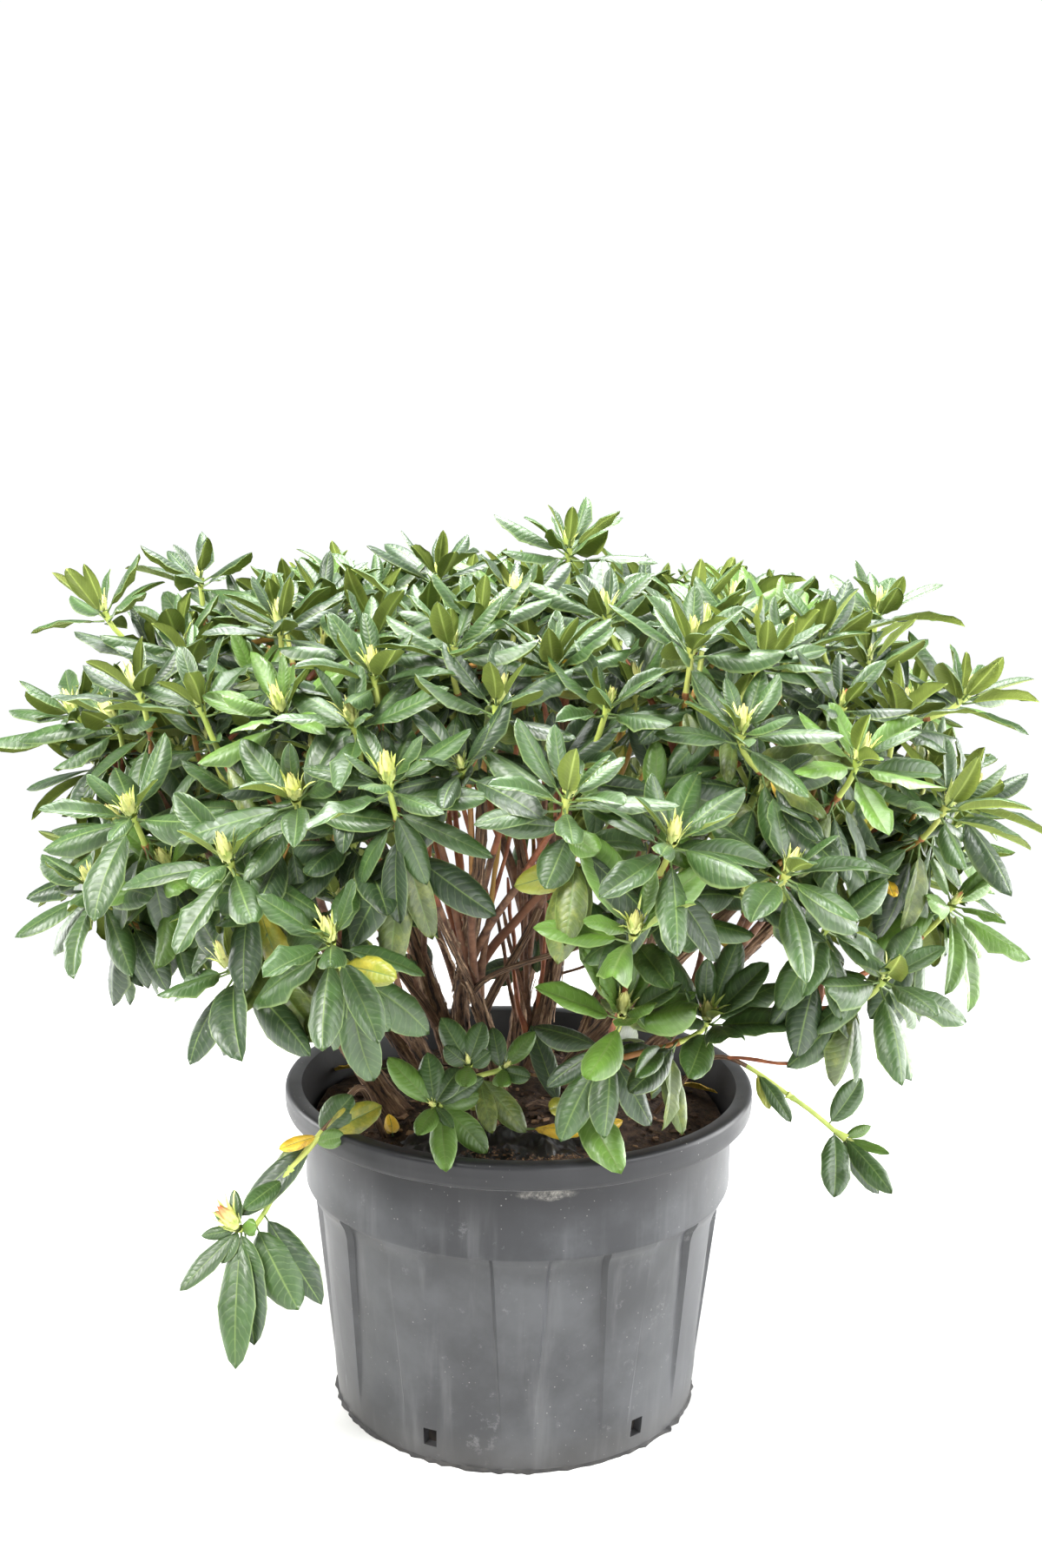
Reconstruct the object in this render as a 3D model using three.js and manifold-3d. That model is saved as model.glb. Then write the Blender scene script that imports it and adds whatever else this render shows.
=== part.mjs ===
// A garden rhododendron in its nursery tub: tub, soil, stems, boughs and masses of leafy shoots.
// Millimetres, +Z up. The origin is the centre of the tub's flat underside, and the front faces -Y.

import * as THREE from 'three';
import { mergeVertices } from 'three/addons/utils/BufferGeometryUtils.js';
import Module from 'manifold-3d';

const wasm = await Module();
wasm.setup();

// ---- Driving dimensions ---------------------------------------------------------------------

const GAP = 0.3;            // clearance between two pieces that touch
const LEAF_GAP = 0.8;       // least clearance of a leaf or twig to what isn't its own shoot

const TUB = {
  sides: 48,
  height: 508,
  baseRadius: 283,
  wallTopRadius: 317,       // outer face of a rib where the fluted wall meets the band
  wallTop: 318,
  bandRadius: 333,          // smooth band between the fluted wall and the lip
  bandFoot: 352,
  lipRadius: 363,
  lipFoot: 465,
  mouthRadius: 336,
  wall: 5,
  floor: 7,
  ribs: 12,
  fluteDepth: 8,
  fluteFoot: 24,
  fluteHead: 300,
  lipRound: 9,
  firstRib: 273,            // azimuth of the middle of one rib
};

const SOIL = { edge: 450, shoulder: 478, crest: 500, shoulderRadius: 170 };

// The crown is a rounded, flat-topped dome: a superellipsoid about the tub's axis.
const CROWN = {
  halfWidth: 720,
  halfDepth: 640,
  halfHeight: 362,
  middle: 930,
  power: 3.2,
  shell: 0.88,              // how far out on the dome the shoots end, as a share of its size
  shellSpread: 0.04,
  shoots: 104,
  tries: 14,                // candidate places drawn for each shoot, the loneliest one wins
  crowding: 30,             // how much nearer a mass has to be for each shoot that it already bears
  seed: 4127,
  hem: 850,                 // lowest shoots, all round
  frontHem: 1050,           // and over the open front, where the stems show
  frontAzimuth: 266,
  frontWidth: 20,
};

// Stems rise from the soil at their foot, leaning from the vertical towards an azimuth. The two
// that bend down over the tub's rim arch further than the rest.
const STEMS = [
  { name: 'stem_left', foot: [-189, -65], lean: 37, toward: 190, radius: 19, mass: 'side_left' },
  { name: 'stem_left_inner', foot: [-140, 40], lean: 31, toward: 178, radius: 17, mass: 'shoulder_left' },
  { name: 'stem_front_left', foot: [-112, -62], lean: 26, toward: 232, radius: 15, mass: 'side_left_front' },
  { name: 'stem_upright', foot: [-80, 62], lean: 13, toward: 200, radius: 14, mass: 'top_front' },
  { name: 'stem_fork', foot: [-30, -24], lean: 9, toward: 200, radius: 12, mass: 'side_front_left' },
  { name: 'stem_middle', foot: [12, 84], lean: 20, toward: 8, radius: 20, mass: 'top_middle' },
  { name: 'stem_front_right', foot: [62, 8], lean: 30, toward: 320, radius: 14, mass: 'side_right_front' },
  { name: 'stem_right', foot: [128, 4], lean: 56, toward: 358, radius: 16, mass: 'side_right' },
  { name: 'stem_back_right', foot: [92, 128], lean: 30, toward: 45, radius: 18, mass: 'shoulder_back_right' },
  { name: 'stem_back', foot: [-6, 168], lean: 28, toward: 92, radius: 16, mass: 'side_back' },
  { name: 'stem_back_left', foot: [-104, 138], lean: 32, toward: 135, radius: 18, mass: 'side_back_left' },
  { name: 'shoot_front_right', foot: [18, -84], lean: 48, toward: 305, radius: 8, mass: 'low_front_right' },
  { name: 'shoot_front', foot: [-62, -190], lean: 16, toward: 262, radius: 6, mass: 'sprig_front' },
  {
    name: 'shoot_low_right', foot: [214, -46], lean: 40, toward: 0, radius: 6.5, arch: 0.7,
    mass: 'low_tip_right',
  },
  {
    name: 'shoot_weeping', foot: [-200, -150], lean: 25, toward: 222, radius: 8, arch: 0.95,
    mass: 'weeping_left',
  },
];

// Boughs leave a stem at a share of its length.
const BOUGHS = [
  { from: 'stem_left', at: 0.42, mass: 'low_left' },
  { from: 'stem_left_inner', at: 0.6, mass: 'low_back_left' },
  { from: 'stem_front_left', at: 0.34, mass: 'low_left_front' },
  { from: 'stem_front_left', at: 0.56, mass: 'shoulder_left_front' },
  { from: 'stem_fork', at: 0.42, mass: 'side_front_right' },
  { from: 'stem_front_right', at: 0.4, mass: 'shoulder_front_right' },
  { from: 'stem_right', at: 0.44, mass: 'low_right' },
  { from: 'stem_right', at: 0.66, mass: 'shoulder_right' },
  { from: 'stem_middle', at: 0.5, mass: 'top_right' },
  { from: 'stem_back', at: 0.42, mass: 'top_back' },
  { from: 'stem_back_right', at: 0.36, mass: 'low_back_right' },
  { from: 'stem_back_right', at: 0.58, mass: 'side_back_right' },
  { from: 'stem_back_left', at: 0.6, mass: 'shoulder_back_left' },
];

// Crown masses, each by the place of its leading bud: azimuth from +X, reach from the axis, height.
const CROWN_MASSES = [
  { name: 'top_middle', azimuth: 0, reach: 62, height: 1328 },
  { name: 'top_front', azimuth: 260, reach: 345, height: 1245 },
  { name: 'top_right', azimuth: 12, reach: 325, height: 1240 },
  { name: 'top_back', azimuth: 98, reach: 285, height: 1245 },
  { name: 'shoulder_left', azimuth: 180, reach: 486, height: 1276 },
  { name: 'shoulder_left_front', azimuth: 222, reach: 440, height: 1235 },
  { name: 'shoulder_front_right', azimuth: 298, reach: 450, height: 1226 },
  { name: 'shoulder_right', azimuth: 352, reach: 515, height: 1245 },
  { name: 'shoulder_back_right', azimuth: 52, reach: 480, height: 1215 },
  { name: 'shoulder_back_left', azimuth: 138, reach: 480, height: 1220 },
  { name: 'side_left', azimuth: 189, reach: 660, height: 1083 },
  { name: 'side_left_front', azimuth: 235, reach: 632, height: 966 },
  { name: 'side_front_left', azimuth: 254, reach: 588, height: 1076 },
  { name: 'side_front_right', azimuth: 287, reach: 608, height: 1012 },
  { name: 'side_right_front', azimuth: 314, reach: 608, height: 1090 },
  { name: 'side_right', azimuth: 340, reach: 655, height: 1000 },
  { name: 'side_back_right', azimuth: 22, reach: 640, height: 1065 },
  { name: 'side_back', azimuth: 80, reach: 590, height: 1045 },
  { name: 'side_back_left', azimuth: 128, reach: 600, height: 1035 },
  { name: 'low_left', azimuth: 209, reach: 662, height: 880 },
  { name: 'low_left_front', azimuth: 248, reach: 618, height: 880 },
  { name: 'low_right', azimuth: 318, reach: 636, height: 800 },
  { name: 'low_back_right', azimuth: 45, reach: 600, height: 865 },
  { name: 'low_back_left', azimuth: 160, reach: 620, height: 880 },
];

// Crown shoots that stand out of the outline or lead its front, placed in the same way.
const LEADING_SHOOTS = [
  { azimuth: 185, reach: 620, height: 1228 },
  { azimuth: 208, reach: 145, height: 1290 },
  { azimuth: 219, reach: 650, height: 1000 },
  { azimuth: 232, reach: 600, height: 815 },
  { azimuth: 258, reach: 442, height: 1225 },
  { azimuth: 275, reach: 590, height: 1065 },
  { azimuth: 283, reach: 600, height: 900 },
  { azimuth: 301, reach: 628, height: 965 },
  { azimuth: 309, reach: 487, height: 1208 },
  { azimuth: 329, reach: 656, height: 1012 },
  { azimuth: 353, reach: 646, height: 1125 },
];

// Masses below the crown, by the place of every shoot, the leading one first. Their stem starts
// along a direction of its own, and their leaves have a size and droop of their own.
const LOW_MASSES = [
  {
    name: 'low_front_right', depth: 150, leafSize: 0.95, droop: 0.8, start: [0.3, -0.45, 0.84],
    shoots: [[125, -380, 725], [236, -345, 712], [140, -455, 868]],
  },
  {
    name: 'low_tip_right', depth: 110, leafSize: 0.8, droop: 0.5, start: [0.8, -0.2, -0.55],
    shoots: [[525, -90, 425]],
  },
  {
    name: 'weeping_left', depth: 110, leafSize: 1.05, droop: 1.9, start: [-0.62, -0.48, -0.62],
    shoots: [[-398, -335, 385], [-318, -322, 500]],
  },
  {
    name: 'sprig_front', depth: 60, leafSize: 0.62, droop: 0.5, start: [-0.1, -0.3, 0.95],
    shoots: [[-72, -262, 600], [-118, -285, 545], [-22, -244, 585]],
  },
];

const MASS_DEPTH = 235;     // from the tip of a bough to the leading bud of its mass

// How far a direction turns up, against how far it turns outwards: for the stem of a mass where it
// starts, and for a bud.
const START = { upright: 0.55, outward: 0.8 };
const BUD = { upright: 0.85, outward: 0.45 };


const LIMB = { sides: 6, steps: 7, tipRadius: 7.5, boughShare: 0.62, flare: 1.35, arch: 0.35 };
const TWIG = {
  steps: 3,
  leaderRadius: 8,
  radius: 6.5,
  tipRadius: 5,
  firstFork: 0.12,          // where along the leader the other twigs may leave it
  lastFork: 0.55,
  sway: 0.5,                // how far a bud's facing strays
};
const SHOOT = { hubRadius: 9.5, hubHeight: 15, budLength: 42 };
const LEAF = {
  length: 136,
  width: 60,
  thickness: 6,
  widest: 0.5,              // where the blade is widest, as a share of its length
  upperRise: 34,            // angle of the upper and lower leaves of a shoot above its cross plane
  lowerRise: -12,
  riseSpread: 9,
  droop: 0.5,               // how far the outer half bends down
  turns: [0, -13, 13, -26],  // other rises and lengths that a leaf tries where it would touch
  shorter: [1, 0.8],
};

const LOOKS = {
  tub: { color: 0x2b2d30, roughness: 0.55, metalness: 0 },
  soil: { color: 0x2c1d14, roughness: 0.95, metalness: 0 },
  bark: { color: 0x6f5040, roughness: 0.9, metalness: 0 },
  leaf: { color: 0x2f5a33, roughness: 0.5, metalness: 0 },
};

// ---- Small helpers --------------------------------------------------------------------------

const UP = new THREE.Vector3(0, 0, 1);
const radians = THREE.MathUtils.degToRad;
const vector = (x, y, z) => new THREE.Vector3(x, y, z);

/** A repeatable stream of numbers between 0 and 1. */
function seeded(seed) {
  let state = seed;
  return () => {
    state = (state * 48271) % 2147483647;
    return state / 2147483647;
  };
}

/** A point from its azimuth about the tub's axis, its reach from the axis and its height. */
function polar(azimuth, reach, height) {
  return vector(reach * Math.cos(radians(azimuth)), reach * Math.sin(radians(azimuth)), height);
}

/** A curve that leaves one point along one direction and arrives at another along another. */
function between(start, startDirection, end, endDirection, arch = LIMB.arch) {
  const pull = arch * start.distanceTo(end);
  return new THREE.CubicBezierCurve3(
    start.clone(),
    start.clone().addScaledVector(startDirection, pull),
    end.clone().addScaledVector(endDirection, -pull),
    end.clone(),
  );
}

/** The closed solid of a geometry whose faces point out. */
function solidOf(geometry) {
  const bare = new THREE.BufferGeometry();
  bare.setAttribute('position', geometry.getAttribute('position'));
  bare.setIndex(geometry.getIndex());
  const merged = mergeVertices(bare, 1e-3);
  return new wasm.Manifold(new wasm.Mesh({
    numProp: 3,
    vertProperties: new Float32Array(merged.attributes.position.array),
    triVerts: new Uint32Array(merged.index.array),
  }));
}

/** The geometry of a solid. */
function geometryOf(solid) {
  const mesh = solid.getMesh();
  const geometry = new THREE.BufferGeometry();
  geometry.setAttribute('position', new THREE.BufferAttribute(mesh.vertProperties, 3));
  geometry.setIndex(new THREE.BufferAttribute(mesh.triVerts, 1));
  geometry.computeVertexNormals();
  return geometry;
}

/** The largest body of a solid that a cut may have split. */
function largestBody(solid) {
  return solid.decompose().sort((a, b) => b.volume() - a.volume())[0];
}

/** A closed geometry turned about the Z axis from a profile of [radius, height] points. */
function turned(profile, sides) {
  const points = profile.map(([radius, height]) => new THREE.Vector2(radius, height));
  return new THREE.LatheGeometry(points, sides).rotateX(Math.PI / 2);
}

// ---- Tub and soil ---------------------------------------------------------------------------

/** Outer radius of the tub's ribs at a height below the band. */
function wallRadius(height) {
  return THREE.MathUtils.mapLinear(height, 0, TUB.wallTop, TUB.baseRadius, TUB.wallTopRadius);
}

/** Radius that is free inside the tub at any height up to its mouth. */
function freeRadius(height) {
  return wallRadius(height) - TUB.fluteDepth - TUB.wall;
}

/** The tub: a fluted wall, a smooth band, and a thick lip round an open mouth. */
function makeTub() {
  const { fluteFoot, fluteHead, lipRound, wall } = TUB;
  const profile = [
    [0, 0],
    [TUB.baseRadius, 0],
    [wallRadius(fluteFoot / 2), fluteFoot / 2],
    [wallRadius(fluteFoot), fluteFoot],
    [wallRadius(fluteHead), fluteHead],
    [TUB.wallTopRadius, TUB.wallTop],
    [TUB.bandRadius - 4, TUB.bandFoot],
    [TUB.bandRadius, TUB.lipFoot],
    [TUB.lipRadius - 2, TUB.lipFoot],
    [TUB.lipRadius, TUB.height - lipRound],
    [TUB.lipRadius - lipRound, TUB.height],
    [TUB.mouthRadius, TUB.height - 1],
    [TUB.bandRadius - wall - 2, TUB.lipFoot],
    [TUB.bandRadius - wall - 4, TUB.bandFoot],
    [wallRadius(fluteHead) - wall, fluteHead],
    [wallRadius(fluteFoot) - wall, fluteFoot],
    [wallRadius(TUB.floor) - wall, TUB.floor],
    [0, TUB.floor],
  ];
  const geometry = turned(profile, TUB.sides);
  const position = geometry.getAttribute('position');
  const stepAngle = 360 / TUB.sides;
  const stepsPerRib = TUB.sides / TUB.ribs;
  for (let i = 0; i < position.count; i++) {
    const [x, y, height] = [position.getX(i), position.getY(i), position.getZ(i)];
    const step = Math.round(THREE.MathUtils.radToDeg(Math.atan2(y, x)) / stepAngle) + TUB.sides;
    const isFluted = height > fluteFoot - 1 && height < fluteHead + 1;
    if (isFluted && step % stepsPerRib >= stepsPerRib / 2) {
      const share = 1 - TUB.fluteDepth / Math.hypot(x, y);
      position.setXY(i, x * share, y * share);
    }
  }
  return solidOf(geometry.rotateZ(radians(TUB.firstRib - stepAngle / 2)));
}

/** Height of the soil at a distance from the tub's axis. */
function soilHeight(reach) {
  const { edge, shoulder, crest, shoulderRadius } = SOIL;
  if (reach < shoulderRadius) return THREE.MathUtils.mapLinear(reach, 0, shoulderRadius, crest, shoulder);
  return THREE.MathUtils.mapLinear(reach, shoulderRadius, freeRadius(edge), shoulder, edge);
}

/** The soil: it fills the tub and rises in a low mound about the stems. */
function makeSoil() {
  const foot = TUB.floor + GAP;
  const clear = GAP + 0.2;
  const profile = [
    [0, foot],
    [freeRadius(foot) - clear, foot],
    [freeRadius(SOIL.edge) - clear, SOIL.edge],
    [SOIL.shoulderRadius, SOIL.shoulder],
    [0, SOIL.crest],
  ];
  const halfTurn = 180 / TUB.sides;
  return solidOf(turned(profile, TUB.sides / 2).rotateZ(radians(TUB.firstRib - halfTurn)));
}

// ---- Where the crown's shoots stand -----------------------------------------------------------

/** Size of the dome through a point, as a share of the crown's own dome. */
function crownLevel(point) {
  const across = Math.hypot(point.x / CROWN.halfWidth, point.y / CROWN.halfDepth);
  const upward = Math.abs(point.z - CROWN.middle) / CROWN.halfHeight;
  return (across ** CROWN.power + upward ** CROWN.power) ** (1 / CROWN.power);
}

/** The direction that the dome faces at a point. */
function crownNormal(point) {
  const step = 1;
  const level = crownLevel(point);
  const slope = ['x', 'y', 'z'].map((key) => {
    const moved = point.clone();
    moved[key] += step;
    return crownLevel(moved) - level;
  });
  return vector(...slope).normalize();
}

/** Lowest height of the shoots at an azimuth. */
function hemHeight(azimuth) {
  const off = (azimuth - CROWN.frontAzimuth) / CROWN.frontWidth;
  return CROWN.hem + (CROWN.frontHem - CROWN.hem) * Math.exp(-off * off);
}

/** A random place on the dome's shell. */
function drawPlace(random) {
  const azimuth = 360 * random();
  const rise = 1.35 * random() - 0.35;
  const level = CROWN.shell + CROWN.shellSpread * (2 * random() - 1);
  const across = Math.sqrt(1 - rise * rise);
  const ray = polar(azimuth, across, rise);
  const atMiddle = vector(0, 0, CROWN.middle);
  ray.multiplyScalar(level / crownLevel(ray.clone().add(atMiddle)));
  return { azimuth, place: ray.add(atMiddle) };
}

/** Gives a shoot to a mass whose leading bud is near and that bears few shoots yet. */
function giveToMass(masses, place) {
  const costs = masses.map((mass) => mass.shoots[0].distanceTo(place) + CROWN.crowding * mass.shoots.length);
  masses[costs.indexOf(Math.min(...costs))].shoots.push(place);
}

/** Fills the dome with shoots, each where it is loneliest, and shares them out among the masses. */
function fillCrown(masses) {
  const random = seeded(CROWN.seed);
  const leading = LEADING_SHOOTS.map(({ azimuth, reach, height }) => polar(azimuth, reach, height));
  const places = [...masses.map((mass) => mass.shoots[0]), ...leading];
  leading.forEach((place) => giveToMass(masses, place));
  while (places.length < CROWN.shoots) {
    let best = null;
    let bestGap = 0;
    for (let i = 0; i < CROWN.tries; i++) {
      const { azimuth, place } = drawPlace(random);
      const gap = Math.min(...places.map((other) => other.distanceTo(place)));
      if (place.z > hemHeight(azimuth) && gap > bestGap) {
        best = place;
        bestGap = gap;
      }
    }
    if (!best) continue;
    places.push(best);
    giveToMass(masses, best);
  }
}

// ---- Limbs ------------------------------------------------------------------------------------

/** A tapering limb along a curve, as a closed bent cylinder. */
function limbGeometry(curve, startRadius, endRadius, sides, steps, flare = 1) {
  const geometry = new THREE.CylinderGeometry(1, 1, 1, sides, steps);
  const frames = curve.computeFrenetFrames(steps, false);
  const position = geometry.getAttribute('position');
  for (let i = 0; i < position.count; i++) {
    const step = Math.round((position.getY(i) + 0.5) * steps);
    const share = step / steps;
    const radius = THREE.MathUtils.lerp(startRadius, endRadius, share) * (step === 0 ? flare : 1);
    const place = curve.getPointAt(share)
      .addScaledVector(frames.binormals[step], position.getX(i) * radius)
      .addScaledVector(frames.normals[step], position.getZ(i) * radius);
    position.setXYZ(i, place.x, place.y, place.z);
  }
  return geometry;
}

/** Where a limb ends and its mass begins: some way behind the mass's leading bud. */
function entryOf(mass) {
  const depth = mass.depth ?? MASS_DEPTH;
  return mass.shoots[0].clone().addScaledVector(mass.start, -depth);
}

/** The curve, radii and sides of a stem. */
function planStem(stem, mass) {
  const buried = 30;
  const [x, y] = stem.foot;
  const foot = vector(x, y, soilHeight(Math.hypot(x, y)));
  const direction = polar(stem.toward, Math.sin(radians(stem.lean)), Math.cos(radians(stem.lean)));
  const start = foot.addScaledVector(direction, -buried);
  return {
    curve: between(start, direction, entryOf(mass), mass.start, stem.arch),
    startRadius: stem.radius,
    endRadius: Math.min(LIMB.tipRadius, stem.radius),
    flare: LIMB.flare,
  };
}

/** The curve and radii of a bough that leaves a stem. */
function planBough(bough, stem, mass) {
  const start = stem.curve.getPointAt(bough.at);
  const entry = entryOf(mass);
  const along = stem.curve.getTangentAt(bough.at);
  const across = entry.clone().sub(start).normalize();
  const radius = THREE.MathUtils.lerp(stem.startRadius, stem.endRadius, bough.at);
  return {
    curve: between(start, along.add(across).normalize(), entry, mass.start),
    startRadius: Math.max(LIMB.boughShare * radius, LIMB.tipRadius),
    endRadius: LIMB.tipRadius - 1,
    flare: 1,
  };
}

/** The solid of a planned limb, grown by an extra radius. */
function limbSolid(plan, extra = 0) {
  const { curve, startRadius, endRadius, flare } = plan;
  return solidOf(limbGeometry(curve, startRadius + extra, endRadius + extra, LIMB.sides, LIMB.steps, flare));
}

// ---- Shoots -----------------------------------------------------------------------------------

/** Three points in a ring about a centre, facing along a direction. */
function triangleRing(centre, across, over, radius, turn = 0) {
  return [0, 1, 2].map((corner) => {
    const angle = radians(120 * corner + turn);
    return centre.clone()
      .addScaledVector(across, radius * Math.cos(angle))
      .addScaledVector(over, radius * Math.sin(angle));
  });
}

/** Faces joining one triangle to the next, both seen anticlockwise from ahead. */
function tubeFaces(from, to) {
  return [0, 1, 2].flatMap((i) => {
    const j = (i + 1) % 3;
    return [[from[i], from[j], to[j]], [from[i], to[j], to[i]]];
  });
}

/** Faces from a triangle to a point ahead of it. */
function coneFaces(ring, tip) {
  return [0, 1, 2].map((i) => [ring[i], ring[(i + 1) % 3], tip]);
}

/** A solid from its faces. */
function solidOfFaces(faces) {
  const geometry = new THREE.BufferGeometry().setFromPoints(faces.flat());
  return solidOf(geometry);
}

/** The blade that grows out of one face of a shoot's hub: its middle triangle and its tip. */
function planLeaf(root, length, rise, droop, axis) {
  const centre = vector(0, 0, 0);
  root.corners.forEach((corner) => centre.addScaledVector(corner, 1 / 3));
  const outward = centre.clone().sub(root.hub).projectOnPlane(axis).normalize();
  const side = axis.clone().cross(outward);
  const direction = outward.multiplyScalar(Math.cos(rise)).addScaledVector(axis, Math.sin(rise));
  const lift = direction.clone().cross(side).multiplyScalar(LEAF.thickness);
  const middle = centre.clone().addScaledVector(direction, length * LEAF.widest);
  const halfWidth = (LEAF.width / 2) * (length / LEAF.length);
  const left = middle.clone().addScaledVector(side, -halfWidth);
  const right = middle.clone().addScaledVector(side, halfWidth);
  const keel = middle.clone().addScaledVector(lift, root.broadSideUp ? -1 : 1);
  const bent = direction.clone().addScaledVector(UP, -droop).normalize();
  return {
    root: root.corners,
    blade: root.broadSideUp ? [keel, right, left] : [left, right, keel],
    tip: middle.clone().addScaledVector(bent, length * (1 - LEAF.widest)),
  };
}

const leafFaces = (leaf) => [...tubeFaces(leaf.root, leaf.blade), ...coneFaces(leaf.blade, leaf.tip)];
const leafSolid = (leaf) => solidOfFaces([[...leaf.root].reverse(), ...leafFaces(leaf)]);

/** A shoot's twig, hub and bud, with the six faces of the hub that leaves may grow out of. */
function planShoot(curve, startRadius, turn) {
  const rings = [];
  const frames = curve.computeFrenetFrames(TWIG.steps, false);
  for (let step = 0; step <= TWIG.steps; step++) {
    const share = step / TWIG.steps;
    const twigRadius = THREE.MathUtils.lerp(startRadius, TWIG.tipRadius, share);
    const radius = step === TWIG.steps ? SHOOT.hubRadius : twigRadius;
    const centre = curve.getPointAt(share);
    rings.push(triangleRing(centre, frames.normals[step], frames.binormals[step], radius, turn));
  }
  const last = TWIG.steps;
  const axis = frames.tangents[last];
  const hub = curve.getPointAt(1);
  const top = hub.clone().addScaledVector(axis, SHOOT.hubHeight);
  const upper = triangleRing(top, frames.normals[last], frames.binormals[last], SHOOT.hubRadius, turn + 60);
  const lower = rings[last];
  const bud = top.clone().addScaledVector(axis, SHOOT.budLength);
  const walls = rings.slice(1).flatMap((ring, i) => tubeFaces(rings[i], ring));
  const faces = [[...rings[0]].reverse(), ...walls, ...coneFaces(upper, bud)];
  const roots = [0, 1, 2].flatMap((i) => {
    const j = (i + 1) % 3;
    return [
      { corners: [lower[j], upper[j], upper[i]], broadSideUp: true, hub },
      { corners: [lower[i], lower[j], upper[i]], broadSideUp: false, hub },
    ];
  });
  return { faces, roots, axis };
}

// ---- Growing the masses -----------------------------------------------------------------------

/** Keeps a solid among those that later ones have to clear. */
function remember(grown, solid, labels) {
  const { min, max } = solid.boundingBox();
  grown.push({ solid, box: new THREE.Box3(vector(...min), vector(...max)), ...labels });
}

/** True where a solid keeps clear of everything grown so far, apart from what is ignored. */
function isClear(solid, grown, ignored) {
  const { min, max } = solid.boundingBox();
  const box = new THREE.Box3(vector(...min), vector(...max)).expandByScalar(LEAF_GAP);
  return !grown.some((other) => (
    !ignored(other) && box.intersectsBox(other.box) && solid.minGap(other.solid, 2 * LEAF_GAP) < LEAF_GAP
  ));
}

/** The curves of a mass's twigs: one leader, and the others branching off it. */
function twigCurves(mass, random) {
  const [leaderTip, ...others] = mass.shoots;
  const start = entryOf(mass).addScaledVector(mass.start, GAP);
  const leader = between(start, mass.start, leaderTip, mass.faces(leaderTip));
  const curves = [leader];
  for (const tip of others) {
    const fork = THREE.MathUtils.lerp(TWIG.firstFork, TWIG.lastFork, random());
    const sway = vector(random() - 0.5, random() - 0.5, random() - 0.5).multiplyScalar(TWIG.sway);
    const from = leader.getPointAt(fork);
    const away = tip.clone().sub(from).normalize().add(leader.getTangentAt(fork)).normalize();
    curves.push(between(from, away, tip, mass.faces(tip).add(sway).normalize()));
  }
  return curves;
}

/** Grows the shoots of one mass without their leaves. Only its leader may meet its own limb. */
function growTwigs(mass, grown) {
  const random = seeded(mass.seed);
  mass.plans = [];
  twigCurves(mass, random).forEach((curve, i) => {
    const isLeader = i === 0;
    const plan = planShoot(curve, isLeader ? TWIG.leaderRadius : TWIG.radius, 120 * random());
    const solid = solidOfFaces([...plan.faces, ...plan.roots.map((root) => root.corners)]);
    const ignored = (other) => other.mass === mass || (isLeader && other.limb === mass.limb);
    if (!isClear(solid, grown, ignored)) return;
    mass.plans.push(plan);
    remember(grown, solid, { mass, shoot: plan });
  });
}

/** Grows the leaves of one shoot, each at the first rise and length at which it touches nothing. */
function growLeaves(plan, { leafSize, droop }, random, grown) {
  for (const root of plan.roots) {
    const rise = (root.broadSideUp ? LEAF.upperRise : LEAF.lowerRise) + LEAF.riseSpread * (2 * random() - 1);
    const length = leafSize * LEAF.length * (0.92 + 0.16 * random());
    const tries = LEAF.shorter.flatMap((share) => LEAF.turns.map((turn) => [length * share, rise + turn]));
    for (const [tryLength, tryRise] of tries) {
      const leaf = planLeaf(root, tryLength, radians(tryRise), droop, plan.axis);
      const solid = leafSolid(leaf);
      if (isClear(solid, grown, (other) => other.shoot === plan)) {
        root.leaf = leaf;
        remember(grown, solid, { shoot: plan });
        break;
      }
    }
  }
}

/** One body of a mass: its twigs, buds and leaves joined. */
function massSolid(mass) {
  const shoots = mass.plans.map((plan) => solidOfFaces([
    ...plan.faces,
    ...plan.roots.flatMap((root) => (root.leaf ? leafFaces(root.leaf) : [root.corners])),
  ]));
  return largestBody(wasm.Manifold.union(shoots));
}

// ---- The whole plant --------------------------------------------------------------------------

/** A direction between straight up and straight out of the dome at a place. */
function upAndOut(place, { upright, outward }) {
  return crownNormal(place).multiplyScalar(outward).addScaledVector(UP, upright).normalize();
}

/** Every mass: the places of its shoots, the way its stem starts and the way its buds face. */
function planMasses() {
  const crown = CROWN_MASSES.map(({ name, azimuth, reach, height }) => {
    const leader = polar(azimuth, reach, height);
    return { name, shoots: [leader], start: upAndOut(leader, START), faces: (tip) => upAndOut(tip, BUD) };
  });
  fillCrown(crown);
  const low = LOW_MASSES.map((row) => {
    const mass = { ...row, start: vector(...row.start).normalize() };
    mass.shoots = row.shoots.map((place) => vector(...place));
    mass.faces = (tip) => tip.clone().sub(entryOf(mass)).normalize().add(mass.start).normalize();
    return mass;
  });
  const usual = { leafSize: 1, droop: LEAF.droop };
  return [...crown, ...low].map((mass, i) => ({ ...usual, ...mass, seed: CROWN.seed + 10 * (i + 1) }));
}

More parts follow.
